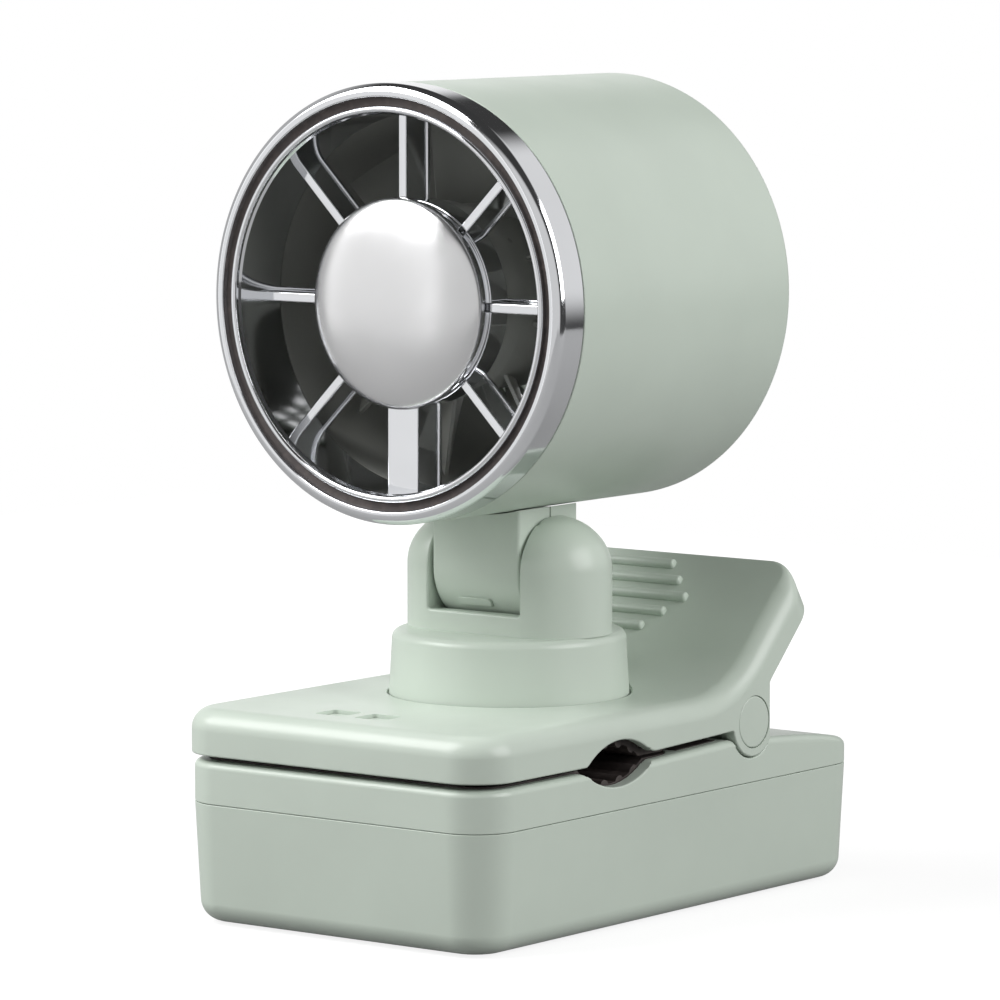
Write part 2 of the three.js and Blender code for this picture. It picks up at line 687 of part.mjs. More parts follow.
function lowerCover() {
  const top = (drop, y) => coverTop(y) - drop;
  const rings = [baseRing(0, () => SEAM_Z)];
  for (let a = 0; a <= 90; a += 30) {
    const t = THREE.MathUtils.degToRad(a);
    const drop = COVER_EDGE_R * (1 - Math.sin(t));
    rings.push(baseRing(COVER_EDGE_R * (1 - Math.cos(t)), (y) => top(drop, y)));
  }
  const outer = loft(rings);
  const ceiling = PAD_BACK + GAP + RECESS_WALL;
  const hollow = loft([
    baseRing(SHELL_WALL, () => SEAM_Z - 1),
    baseRing(SHELL_WALL, (y) => top(ceiling, y)),
  ]);
  const padBackR = NOTCH_LOWER_R - GAP + PAD_THICK + GAP;
  const notchZ = COVER_Z - NOTCH_LOWER_DEPTH + NOTCH_LOWER_R;
  const across = (y, z, r, steps) => rodX(y, z, r, -BASE_HALF_X - 1, BASE_HALF_X + 1, steps);
  const notchSkin = across(NOTCH_Y, notchZ, padBackR + RECESS_WALL, MEDIUM * 3);
  const troughSkin = across(HINGE_Y, HINGE_Z, TROUGH_R + RECESS_WALL, MEDIUM);
  let cover = cut(outer, hollow).add(notchSkin.add(troughSkin).intersect(outer));
  const straight = (inset, from, to) => loft([baseRing(inset, () => from), baseRing(inset, () => to)]);
  const lipTop = SEAM_Z + LIP_WALL;
  const lip = straight(SHELL_WALL + GAP, SEAM_Z - LIP_DEPTH, lipTop);
  const lipStep = straight(SHELL_WALL - OVERLAP, SEAM_Z, lipTop);
  const lipHole = straight(SHELL_WALL + GAP + LIP_WALL, SEAM_Z - LIP_DEPTH - 1, lipTop + 1);
  cover = cover.add(cut(lip.add(lipStep), lipHole));
  for (const [, x, y] of basePosts) {
    const post = rodZ(x, y, BASE_POST_R - GAP, BASE_POST_TOP + GAP, coverTop(y) - COVER_EDGE_R);
    cover = cover.add(post).subtract(rodZ(x, y, SCREW_R + GAP, 0, BASE_POST_TOP + BASE_SCREW_GRIP + 3));
  }
  cover = cut(
    cover,
    across(HINGE_Y, HINGE_Z, TROUGH_R, FINE),
    across(NOTCH_Y, notchZ, NOTCH_LOWER_R, MEDIUM * 3),
  );
  const recess = dipOutline(
    PAD_FRONT_Y - GAP,
    PAD_REAR_Y + GAP,
    COVER_Z + 3,
    NOTCH_LOWER_R - 3,
    COVER_Z - PAD_BACK - GAP,
    padBackR,
    0,
  );
  cover = cover.subtract(
    alongX(recess, -PAD_HALF_X - GAP, PAD_HALF_X + GAP).intersect(alongZ(padPlan(GAP), 0, JAW_TOP_Z)),
  );
  for (const [, s] of SIDES) {
    const [x0, x1] = [s * EAR_X - EAR_THICK / 2, s * EAR_X + EAR_THICK / 2];
    const web = rectangle(HINGE_Y - EAR_R, HINGE_Y + EAR_R, HINGE_Z - TROUGH_R - OVERLAP, HINGE_Z);
    cover = joined(cover, alongX(web, x0, x1), rodX(HINGE_Y, HINGE_Z, EAR_R, x0, x1, MEDIUM));
  }
  return cover.subtract(rodX(HINGE_Y, HINGE_Z, PIN_R + GAP, -JAW_HALF_X, JAW_HALF_X));
}

// A torsion spring round the hinge pin: coils and two straight legs.
function torsionSpring() {
  const points = [];
  const sweep = SPRING_END_ANGLE - SPRING_START_ANGLE - SPRING_TURNS * 2 * Math.PI;
  const steps = SPRING_TURNS * 9;
  const place = (u) => {
    const a = SPRING_START_ANGLE + sweep * u;
    const x = SPRING_PITCH * SPRING_TURNS * (u - 0.5);
    return new THREE.Vector3(x, SPRING_R * Math.cos(a), SPRING_R * Math.sin(a));
  };
  const legEnd = (u, direction, length) => {
    const tangent = place(u + 1e-3).sub(place(u - 1e-3)).normalize().multiplyScalar(direction);
    tangent.x = 0;
    return place(u).addScaledVector(tangent.normalize(), length);
  };
  points.push(legEnd(0, -1, SPRING_LOWER_LEG));
  for (let i = 0; i <= steps; i++) points.push(place(i / steps));
  points.push(legEnd(1, 1, SPRING_UPPER_LEG));
  const route = new THREE.CatmullRomCurve3(points, false, "catmullrom", 0.2);
  return solid(
    new THREE.ExtrudeGeometry(new THREE.Shape(circle(0, 0, SPRING_WIRE_R, 5)), {
      steps: steps + 8,
      bevelEnabled: false,
      extrudePath: route,
    }),
  );
}

function base() {
  const group = new THREE.Group();
  const boardPlan = rectangle(-BOARD_HALF_X, BOARD_HALF_X, BOARD_FRONT_Y, BOARD_REAR_Y, 2);
  const pinHalf = JAW_HALF_X - CAP_THICK - 2 * GAP;
  group.add(
    piece("lower_shell", lowerShell(), SAGE),
    piece("lower_cover", lowerCover(), SAGE),
    piece("lower_pad", lowerPad(), RUBBER),
    piece("base_pad", alongZ(footOutline(0), 0, FOOT_TOP_Z), RUBBER),
    piece("usb_port", usbPort(), STEEL),
    piece("main_board", alongZ(boardPlan, BOARD_Z, BOARD_Z + BOARD_THICK), BOARD),
    piece("hinge_pin", rodX(HINGE_Y, HINGE_Z, PIN_R, -pinHalf, pinHalf), STEEL),
  );
  [0, 1].forEach((i) => {
    const can = rodX(0, 0, CELL_R, -CELL_LENGTH / 2, CELL_LENGTH / 2 - CELL_NUB_LENGTH, MEDIUM);
    const nub = rodX(0, 0, CELL_NUB_R, -CELL_LENGTH / 2, CELL_LENGTH / 2);
    const cell = piece(`battery_cell_${i + 1}`, can.add(nub), CELL_WRAP);
    group.add(placed(cell, 0, CELL_FIRST_Y + i * CELL_PITCH, CELL_Z));
  });
  for (const [name, x, y] of basePosts) {
    const length = BASE_POST_TOP + BASE_SCREW_GRIP - TUB_SCREW_Z;
    group.add(placed(piece(`base_screw_${name}`, screw(length), STEEL), x, y, TUB_SCREW_Z));
  }
  for (const [side, s] of SIDES) {
    const spring = piece(`spring_${side}`, torsionSpring(), STEEL);
    group.add(placed(spring, s * SPRING_X, HINGE_Y, HINGE_Z));
  }
  return group;
}

// ---------------------------------------------------------------- upper jaw and lever

// How far a rounded edge of radius r has drawn back, d away from where it ends.
const roundBack = (d, r) => (d >= r ? 0 : r - Math.sqrt(Math.max(0, r * r - (r - d) ** 2)));

// Lower rim of the upper jaw at a given y.
function jawRim(y) {
  const from = NOTCH_Y - NOTCH_UPPER_R * Math.SQRT1_2;
  const to = HINGE_Y - TROUGH_R;
  return JAW_Z + JAW_RISE * THREE.MathUtils.clamp((y - from) / (to - from), 0, 1);
}

// Stations of the jaw's skin from its front edge to the lever's end: a point on the top face, a
// point on the lower or rear face, and the half width there. All are drawn in by an inset.
function jawStations(inset) {
  const half = JAW_HALF_X - inset;
  const corner = JAW_CORNER_R - inset;
  const edge = JAW_EDGE_R - JAW_INNER_EDGE * inset;
  const front = JAW_FRONT_Y + inset;
  const top = JAW_TOP_Z - inset;
  const stations = [];
  for (let a = 0; a <= 90; a += 18) {
    const d = corner * (1 - Math.cos(THREE.MathUtils.degToRad(a)));
    const y = front + d;
    const width = half - roundBack(d, corner);
    stations.push([point(y, top - roundBack(d, edge)), point(y, jawRim(y)), width]);
  }
  const centre = point(LEVER_TURN_Y, JAW_TOP_Z + LEVER_TURN_R);
  const turnR = LEVER_TURN_R + inset;
  const onTurn = (deg) => arc(centre.x, centre.y, turnR, deg - 90, deg - 90, 1)[0];
  const before = LEVER_TURN_Y - LEVER_LEAD;
  stations.push([point(before, top), point(before, jawRim(before)), half]);
  for (let i = 0; i < 5; i++) {
    const y = THREE.MathUtils.lerp(LEVER_TURN_Y, LEVER_BACK_Y, (i * 0.9) / 4);
    stations.push([onTurn(9 * i), point(y, jawRim(y)), half]);
  }
  const backStart = point(LEVER_BACK_Y, JAW_TOP_Z + LEVER_BACK_Z);
  const topStart = onTurn(45);
  stations.push([topStart, backStart, half]);
  const slope = point(Math.SQRT1_2, Math.SQRT1_2);
  const outward = point(Math.SQRT1_2, -Math.SQRT1_2);
  const at = (start, s) => slope.clone().multiplyScalar(s).add(start);
  const bend = Math.max(LEVER_CORNER_R - inset, 2);
  for (const share of [0, 0.3, 0.55, 0.75, 0.9, 0.97]) {
    const left = bend * (1 - share);
    const s = LEVER_LENGTH - inset - left;
    const past = Math.max(0, s - (LEVER_OUTER - inset));
    const low = at(backStart, s - past).add(point(LEVER_END_LEAN * past, LEVER_END_RISE * past));
    const high = at(topStart, s).addScaledVector(outward, roundBack(left, LEVER_TIP_R));
    stations.push([high, low, half - roundBack(left, bend)]);
  }
  return stations;
}

// The jaw's skin. An opening run carries the lower and rear faces outwards past the real ones.
function jawSkin(inset, openBy) {
  const edge = JAW_EDGE_R - JAW_INNER_EDGE * inset;
  const rings = jawStations(inset).map(([top, low, width]) => {
    const down = low.clone().sub(top);
    const depth = down.length();
    down.normalize();
    const r = Math.min(edge, depth * 0.6);
    const right = [point(width, depth + openBy)];
    for (let a = 0; a <= 90; a += 30) {
      const t = THREE.MathUtils.degToRad(a);
      right.push(point(width - r * (1 - Math.cos(t)), r * (1 - Math.sin(t))));
    }
    const lift = ({ x, y: fall }) => new THREE.Vector3(x, top.x + down.x * fall, top.y + down.y * fall);
    const ring = right.map(lift);
    return [...ring, ...ring.map((p) => new THREE.Vector3(-p.x, p.y, p.z)).reverse()];
  });
  return loft(rings);
}

const jawPosts = SIDES.flatMap(([side, s]) => [
  [`front_${side}`, s * JAW_POST_X, JAW_POST_FRONT_Y],
  [`rear_${side}`, s * JAW_POST_X, JAW_POST_REAR_Y],
]);

// Turns a solid's +Z to the lever's front normal and sets its origin on the lever's rear face,
// a distance s up the slope.
function onLeverBack(mesh, x, s) {
  mesh.rotation.x = Math.PI / 4;
  const y = LEVER_BACK_Y + s * Math.SQRT1_2;
  return placed(mesh, x, y, JAW_TOP_Z + LEVER_BACK_Z + s * Math.SQRT1_2);
}

function turnedOnLever(geometry, x, s) {
  const y = LEVER_BACK_Y + s * Math.SQRT1_2;
  const z = JAW_TOP_Z + LEVER_BACK_Z + s * Math.SQRT1_2;
  return solid(geometry.rotateX(Math.PI / 4).translate(x, y, z));
}

const leverRod = (x, r, from, to) =>
  turnedOnLever(extrusion(circle(0, 0, r, SMALL), to - from).translate(0, 0, from), x, LEVER_SCREW_S);

const KEY_CEILING_Z = JAW_CEILING_Z - GAP; // top of the flanges under the jaw's wall
const keyOutline = (x, grow) =>
  rectangle(
    x - KEY_HALF_X - grow,
    x + KEY_HALF_X + grow,
    KEY_Y - KEY_HALF_Y - grow,
    KEY_Y + KEY_HALF_Y + grow,
    0.6 + grow,
    2,
  );

const SEAT_R = TURN_R + TURN_MOAT;
const PAN_BORE_R = PAN_POST_R + GAP;
const PAN_BOSS_R = PAN_BORE_R + PAN_BOSS_WALL;
const SEAT_Z = JAW_TOP_Z - TURN_SINK;
const SEAT_UNDER_Z = SEAT_Z - SHELL_WALL;
const YOKE_SCREW_X = YOKE_HALF_X - YOKE_SCREW_INSET;

function gripRib(index) {
  const s = GRIP_FIRST_S + index * GRIP_PITCH;
  const length = 2 * (GRIP_HALF_LENGTHS[index] - GRIP_RIB_R);
  const bead = new THREE.CapsuleGeometry(GRIP_RIB_R, length, 2, 8);
  bead.rotateZ(Math.PI / 2);
  bead.translate(0, SLOPE_Y + s * Math.SQRT1_2, SLOPE_Z + s * Math.SQRT1_2);
  return solid(bead);
}

function upperJaw() {
  const outer = jawSkin(0, 0);
  let shell = cut(outer, jawSkin(SHELL_WALL, 6));
  const seat = rodZ(0, 0, SEAT_R + SHELL_WALL, SEAT_UNDER_Z, TURN_TOP_Z, FINE).intersect(outer);
  shell = shell.add(seat).subtract(rodZ(0, 0, SEAT_R, SEAT_Z, TURN_TOP_Z, FINE));
  shell = shell.add(rodZ(0, 0, PAN_BOSS_R, SEAT_UNDER_Z, JAW_TOP_Z + PAN_BOSS_RISE, MEDIUM));
  shell = shell.subtract(rodZ(0, 0, PAN_BORE_R, JAW_Z, TURN_TOP_Z, MEDIUM));
  for (const [, s] of SIDES) {
    const [x0, x1] = [s * (JAW_HALF_X - LUG_THICK), s * JAW_HALF_X].sort((a, b) => a - b);
    const behind = rectangle(LEVER_BACK_Y, LEVER_BACK_Y + LUG_R, HINGE_Z - LUG_R, HINGE_Z + LUG_R);
    const lug = rodX(HINGE_Y, HINGE_Z, LUG_R, x0, x1, FINE);
    shell = shell.add(lug.subtract(alongX(behind, x0 - 1, x1 + 1)));
    shell = shell.add(leverRod(s * LEVER_SCREW_X, POST_R, LEVER_PLATE + GAP, LEVER_PLATE + LEVER_POST));
  }
  for (const [, x, y] of jawPosts) {
    shell = shell.add(rodZ(x, y, POST_R, LINER_Z + LINER_THICK + GAP, JAW_CEILING_Z + 1));
    shell = shell.subtract(rodZ(x, y, SCREW_R + GAP, JAW_Z, JAW_CEILING_Z - 0.8));
  }
  shell = joined(shell, ...GRIP_HALF_LENGTHS.map((_, i) => gripRib(i)));
  for (const [, s] of SIDES) {
    const [x0, x1] = [s * (JAW_HALF_X - CAP_THICK - GAP), s * (JAW_HALF_X + 1)].sort((a, b) => a - b);
    shell = shell.subtract(rodX(HINGE_Y, HINGE_Z, CAP_R + GAP, x0, x1, FINE));
    shell = shell.subtract(leverRod(s * LEVER_SCREW_X, SCREW_R + GAP, 0, LEVER_PLATE + LEVER_POST - 1));
  }
  const notchZ = JAW_Z + NOTCH_UPPER_DEPTH - NOTCH_UPPER_R;
  return cut(
    shell,
    rodX(HINGE_Y, HINGE_Z, PIN_R + GAP, -JAW_HALF_X - 1, JAW_HALF_X + 1),
    rodX(NOTCH_Y, notchZ, NOTCH_UPPER_R, -JAW_HALF_X - 1, JAW_HALF_X + 1, MEDIUM * 3),
    alongZ(keyOutline(BUTTON_X, GAP), JAW_Z, JAW_TOP_Z + 1),
    alongZ(keyOutline(WINDOW_X, GAP), JAW_Z, JAW_TOP_Z + 1),
  );
}

const LINER_HALF_X = JAW_HALF_X - SHELL_WALL - GAP;
const LINER_FRONT_Y = JAW_FRONT_Y + SHELL_WALL + GAP;
const LINER_REAR_Y = HINGE_Y - TROUGH_R - 0.5;

function jawLiner() {
  const outline = archedOutline(
    LINER_FRONT_Y,
    LINER_REAR_Y,
    LINER_Z,
    NOTCH_UPPER_R - 1 + PAD_THICK + GAP,
    LINER_Z + LINER_THICK,
    NOTCH_UPPER_R - 1 + PAD_THICK + GAP + LINER_THICK - 0.3,
    0,
  );
  const plan = rectangle(
    -LINER_HALF_X,
    LINER_HALF_X,
    LINER_FRONT_Y,
    LINER_REAR_Y + 2 * JAW_CORNER_R,
    JAW_CORNER_R - SHELL_WALL - GAP,
  );
  const liner = alongX(outline, -LINER_HALF_X, LINER_HALF_X).intersect(alongZ(plan, 0, TURN_TOP_Z));
  return cut(liner, ...jawPosts.map(([, x, y]) => rodZ(x, y, SCREW_R + GAP, JAW_Z, JAW_TOP_Z)));
}

function upperPad() {
  const outline = archedOutline(
    PAD_FRONT_Y,
    PAD_REAR_Y,
    JAW_Z - PAD_PROUD,
    NOTCH_UPPER_R - 1,
    JAW_Z + PAD_BACK,
    NOTCH_UPPER_R - 1 + PAD_THICK,
    PAD_RIB,
  );
  const pad = alongX(outline, -PAD_HALF_X, PAD_HALF_X).intersect(alongZ(padPlan(0), 0, JAW_TOP_Z));
  return cut(pad, ...jawPosts.map(([, x, y]) => rodZ(x, y, SCREW_HEAD_R + GAP, COVER_Z, JAW_TOP_Z)));
}

// The cover that closes the jaw's rear wall and the lever from behind, notched for the ears.
function leverBack() {
  const backZ = JAW_TOP_Z + LEVER_BACK_Z;
  const length = LEVER_OUTER - 2 * SHELL_WALL - GAP;
  const k = LEVER_PLATE * Math.tan(Math.PI / 8);
  const low = HINGE_Z - 2.7;
  const end = point(LEVER_BACK_Y + length * Math.SQRT1_2, backZ + length * Math.SQRT1_2);
  const inward = LEVER_PLATE * Math.SQRT1_2;
  const outline = [
    point(LEVER_BACK_Y, low),
    point(LEVER_BACK_Y, backZ),
    end,
    point(end.x - inward, end.y + inward),
    point(LEVER_BACK_Y - LEVER_PLATE, backZ + k),
    point(LEVER_BACK_Y - LEVER_PLATE, low),
  ];
  let plate = alongX(outline, -LINER_HALF_X, LINER_HALF_X);
  for (const [, s] of SIDES) {
    const reach = EAR_THICK / 2 + GAP;
    const [x0, x1] = [s * EAR_X - reach, s * EAR_X + reach];
    const slot = rectangle(LEVER_BACK_Y - 5, LEVER_BACK_Y + 5, low - 1, HINGE_Z + EAR_R + GAP);
    const hub = rectangle(LEVER_BACK_Y - 5, LEVER_BACK_Y + 5, low - 1, HINGE_Z + LUG_R + GAP);
    const [h0, h1] = [s * (JAW_HALF_X - LUG_THICK - GAP), s * JAW_HALF_X].sort((a, b) => a - b);
    plate = cut(
      plate,
      alongX(slot, x0, x1),
      alongX(hub, h0, h1),
      leverRod(s * LEVER_SCREW_X, SCREW_R + GAP, -1, LEVER_PLATE + 1),
      leverRod(s * LEVER_SCREW_X, SCREW_HEAD_R + GAP, -1, SCREW_HEAD_H + 0.1),
    );
  }
  return plate;
}

function pinCap(sign) {
  const inner = JAW_HALF_X - CAP_THICK;
  const [x0, x1] = [sign * inner, sign * JAW_HALF_X].sort((a, b) => a - b);
  return rodX(HINGE_Y, HINGE_Z, CAP_R, x0, x1, FINE);
}

const KEY_BOARD_Z = LINER_Z + LINER_THICK + GAP;
const KEY_UNDER_Z = KEY_BOARD_Z + KEY_BOARD_THICK + GAP + SWITCH_HEIGHT + BUTTON_STROKE + GAP / 2;

function keyCap(x, topZ, underZ) {
  const flange = alongZ(keyOutline(x, KEY_FLANGE), underZ, KEY_CEILING_Z);
  return joined(alongZ(keyOutline(x, 0), underZ, topZ), flange);
}

function jaw() {
  const group = new THREE.Group();
  const boardTop = KEY_BOARD_Z + KEY_BOARD_THICK;
  const boardPlan = rectangle(
    BUTTON_X - KEY_HALF_X - KEY_BOARD_MARGIN,
    WINDOW_X + KEY_HALF_X + KEY_BOARD_MARGIN,
    KEY_Y - KEY_HALF_Y - KEY_BOARD_MARGIN / 2,
    KEY_Y + KEY_HALF_Y + KEY_BOARD_MARGIN / 2,
    1,
    2,
  );
  const onBoard = (x, half, height) => {
    const square = rectangle(x - half, x + half, KEY_Y - half, KEY_Y + half);
    return alongZ(square, boardTop + GAP, boardTop + GAP + height);
  };
  group.add(
    piece("upper_jaw", upperJaw(), SAGE),
    piece("jaw_liner", jawLiner(), SAGE_DARK),
    piece("upper_pad", upperPad(), RUBBER),
    piece("lever_back", leverBack(), SAGE),
    piece("indicator_window", keyCap(WINDOW_X, JAW_TOP_Z, KEY_CEILING_Z - 0.8), LENS),
    piece("key_board", alongZ(boardPlan, KEY_BOARD_Z, boardTop), BOARD),
    piece("key_switch", onBoard(BUTTON_X, SWITCH_HALF, SWITCH_HEIGHT), STEEL),
    piece("indicator_led", onBoard(WINDOW_X, LED_HALF, LED_HEIGHT), LENS),
  );
  for (const [side, s] of SIDES) group.add(piece(`pin_cap_${side}`, pinCap(s), SAGE));
  for (const [name, x, y] of jawPosts) {
    const fastener = piece(`jaw_screw_${name}`, screw(JAW_CEILING_Z - 1.4 - LINER_Z), STEEL);
    group.add(placed(fastener, x, y, LINER_Z - GAP / 3));
  }
  for (const [side, s] of SIDES) {
    const fastener = screw(LEVER_PLATE + 1.6).translate([0, 0, SCREW_HEAD_H]);
    const mesh = piece(`lever_screw_${side}`, fastener, STEEL);
    group.add(onLeverBack(mesh, s * LEVER_SCREW_X, LEVER_SCREW_S));
  }
  return group;
}

const powerButton = () => piece("power_button", keyCap(BUTTON_X, JAW_TOP_Z + 0.1, KEY_UNDER_Z), SAGE);

// ---------------------------------------------------------------- turntable and yoke

function turntable() {
  const ceiling = TURN_TOP_Z - TURN_TOP_WALL;
  const bottom = SEAT_Z + GAP;
  const postBottom = SEAT_UNDER_Z - PAN_POST_PROUD;
  const profile = [
    ...profileOf([
      [0, postBottom],
      [PAN_POST_R, postBottom],
      [PAN_POST_R, ceiling],
      [TURN_TOP_R - TURN_WALL, ceiling],
      [TURN_R - TURN_WALL, bottom],
      [TURN_R, bottom],
    ]),
    ...arc(TURN_TOP_R - TURN_EDGE_R, TURN_TOP_Z - TURN_EDGE_R, TURN_EDGE_R, 0, 90, 4),
    point(0, TURN_TOP_Z),
  ];
  const screwHole = rodZ(0, 0, SCREW_R + GAP, postBottom - 1, postBottom + PAN_SCREW_LENGTH + 1);
  const yokeHoles = SIDES.map(([, s]) =>
    rodZ(s * YOKE_SCREW_X, 0, SCREW_R + GAP, ceiling - 1, TURN_TOP_Z + 1),
  );
  return cut(turnedZ(profile, FINE), screwHole, ...yokeHoles);
}

function yoke() {
  const foot = TURN_TOP_Z + GAP;
  const centreX = YOKE_HALF_X - YOKE_R;
  const slotR = NECK_R + NECK_BAR_PROUD + GAP;
  let body = alongZ(
    rectangle(-YOKE_HALF_X, YOKE_HALF_X, -YOKE_R, YOKE_R, YOKE_R - 0.01, 8),
    foot,
    TURN_TOP_Z + YOKE_FLOOR_RISE,
  );
  for (const [, s] of SIDES) {
    const ear = rodZ(s * centreX, 0, YOKE_R, foot, TILT_Z, FINE);
    const dome = new THREE.SphereGeometry(1, FINE, 12).rotateX(Math.PI / 2);
    dome.scale(YOKE_R, YOKE_R, EAR_TOP_R).translate(s * centreX, 0, TILT_Z);
    const inner = rectangle(s * YOKE_SLOT_HALF_X, s * (YOKE_HALF_X + 1), -YOKE_R - 1, YOKE_R + 1);
    body = body.add(joined(ear, solid(dome)).intersect(alongZ(inner, foot, TILT_Z + YOKE_R)));
  }
  const seat = YOKE_SLOT_HALF_X + AXLE_SEAT;
  body = cut(
    body,
    rodX(0, TILT_Z, slotR, -YOKE_SLOT_HALF_X, YOKE_SLOT_HALF_X, FINE),
    rodX(0, TILT_Z, AXLE_R + GAP, -YOKE_HALF_X - 1, seat + GAP),
    rodX(0, TILT_Z, PLUG_R + GAP, -YOKE_HALF_X - 1, -seat - GAP),
  );
  const holes = SIDES.map(([, s]) =>
    rodZ(s * YOKE_SCREW_X, 0, SCREW_R + GAP, foot - 1, foot + YOKE_SCREW_GRIP + 1),
  );
  return cut(body, ...holes);
}

// A short plug hides the hole through which the axle goes in.
function axlePlug() {
  const inner = -YOKE_SLOT_HALF_X - AXLE_SEAT - 2 * GAP;
  return rodX(0, TILT_Z, PLUG_R, PLUG_SINK - YOKE_HALF_X, inner);
}

function pan() {
  const group = new THREE.Group();
  const washerTop = SEAT_UNDER_Z - PAN_POST_PROUD - GAP;
  const washer = cut(
    rodZ(0, 0, PAN_WASHER_R, washerTop - PAN_WASHER_THICK, washerTop, MEDIUM),
    rodZ(0, 0, SCREW_R + GAP, 0, TURN_TOP_Z),
  );
  const panScrew = piece("pan_screw", screw(PAN_SCREW_LENGTH), STEEL);
  const seat = YOKE_SLOT_HALF_X + AXLE_SEAT;
  group.add(
    piece("turntable", turntable(), SAGE),
    piece("yoke", yoke(), SAGE),
    piece("pan_washer", washer, STEEL),
    placed(panScrew, 0, 0, washerTop - PAN_WASHER_THICK - GAP / 3),
    piece("tilt_axle", rodX(0, TILT_Z, AXLE_R, -seat, seat, MEDIUM), STEEL),
    piece("axle_plug", axlePlug(), SAGE),
  );
  for (const [side, s] of SIDES) {
    const fastener = piece(`yoke_screw_${side}`, screw(TURN_TOP_WALL + YOKE_SCREW_GRIP), STEEL);
    group.add(placed(fastener, s * YOKE_SCREW_X, 0, TURN_TOP_Z - TURN_TOP_WALL - GAP / 3));
  }
  return group;
}

// ---------------------------------------------------------------- head, about the drum's axis

// The neck is built about the tilt axis: its foot is rounded, its top fits the drum.
function neckHalf(fromY, toY) {
  const rise = HEAD_DROP + HEAD_R;
  const neckTop = rise - Math.sqrt(HEAD_R ** 2 - NECK_HALF_X ** 2) + OVERLAP;
  const rearAngle = THREE.MathUtils.radToDeg(Math.asin(NECK_REAR_Y / NECK_R));
  const outline = [
    point(-NECK_R, neckTop),
    ...arc(0, 0, NECK_R, 180, 270 + rearAngle, 14),
    point(NECK_REAR_Y, neckTop),
  ];
  const screwY = fromY < NECK_SEAM_Y - GAP ? NECK_SCREW_FRONT_Y : NECK_SCREW_REAR_Y;
  const block = alongX(outline, -NECK_HALF_X, NECK_HALF_X);
  const slab = alongY(rectangle(-NECK_HALF_X - 1, NECK_HALF_X + 1, -NECK_R - 1, rise), fromY, toY);
  return cut(
    block.intersect(slab),
    rodY(0, rise, HEAD_R + GAP, -HEAD_R, HEAD_R, MEDIUM * 3),
    rodX(0, 0, AXLE_R + BUSH_WALL + 2 * GAP, -NECK_HALF_X - 1, NECK_HALF_X + 1, MEDIUM),
    rodZ(0, screwY, SCREW_R + GAP, HEAD_DROP - NECK_SCREW_LENGTH, HEAD_DROP + 3),
  );
}

// The raised bar low on the neck's front follows the curve of the neck's foot.
function neckBar() {
  const bottom = -NECK_BAR_DROP - NECK_BAR_HEIGHT / 2;
  const bar = rectangle(-NECK_BAR_HALF_X, NECK_BAR_HALF_X, bottom, bottom + NECK_BAR_HEIGHT, 0.6, 2);
  const band = tube(NECK_R - OVERLAP, NECK_R + NECK_BAR_PROUD, -NECK_HALF_X, NECK_HALF_X);
  return alongY(bar, -NECK_R - 1, 0).intersect(turnedY(band, MEDIUM * 3).rotate([0, 0, 90]));
}

// The chrome ring in section: an outer bead, a narrow groove, an inner bead that stands further
// forward, the sleeve inside the duct's mouth and the spigot inside the drum.
function bezelProfile() {
  const sleeve = DUCT_R + SLEEVE_WALL;
  const web = BEZEL_FRONT_Y + BEZEL_WEB_DEPTH;
  const spigot = HEAD_R - DRUM_WALL - GAP;
  const spigotRear = DRUM_FRONT_Y + SPIGOT_LENGTH;
  const rear = DRUM_FRONT_Y - GAP;
  const outerR = (HEAD_R - BEZEL_GROOVE_R) / 2;
  const innerFace = DUCT_R + BEZEL_LAND;
  const innerR = (BEZEL_GROOVE_R - BEZEL_GROOVE_WIDTH - innerFace) / 2;
  const bead = (centre, r, front) =>
    arc(centre, 0, r, 0, 180, 6).map(({ x, y }) => point(x, front + (r - y) * BEZEL_BEAD_FLATNESS));
  return [
    ...profileOf([
      [DUCT_R, SLEEVE_REAR_Y],
      [sleeve, SLEEVE_REAR_Y],
      [sleeve, web],
      [spigot - SLEEVE_WALL, web],
      [spigot - SLEEVE_WALL, spigotRear],
      [spigot, spigotRear],
      [spigot, rear],
      [HEAD_R, rear],
    ]),
    ...bead(HEAD_R - outerR, outerR, BEZEL_FRONT_Y + BEZEL_OUTER_SETBACK),
    ...bead(innerFace + innerR, innerR, BEZEL_FRONT_Y),
    point(DUCT_R, BEZEL_FRONT_Y + BEZEL_LAND_SETBACK),
  ];
}

function frontGrille() {
  let grille = turnedY(bezelProfile(), FINE);
  const rearY = SPOKE_FRONT_Y + SPOKE_DEPTH;
  for (let i = 0; i < SPOKE_COUNT; i++) {
    const half = (i === SPOKE_COUNT / 2 ? WIDE_SPOKE_WIDTH : SPOKE_WIDTH) / 2;
    const outline = rectangle(-half, half, BARREL_R - OVERLAP, DUCT_R + SLEEVE_WALL / 2);
    const bar = extrusion(outline, SPOKE_DEPTH);
    bar.rotateX(Math.PI / 2).rotateY((i * 2 * Math.PI) / SPOKE_COUNT).translate(0, rearY, 0);
    grille = grille.add(solid(bar));
  }
  const barrel = tube(BARREL_R - BARREL_WALL, BARREL_R, BARREL_FRONT_Y, BARREL_REAR_Y);
  const web = tube(WEB_BORE_R, BARREL_R - BARREL_WALL / 2, WEB_Y, WEB_Y + WEB_THICK);
  return joined(grille, turnedY(barrel, FINE), turnedY(web, FINE));
}

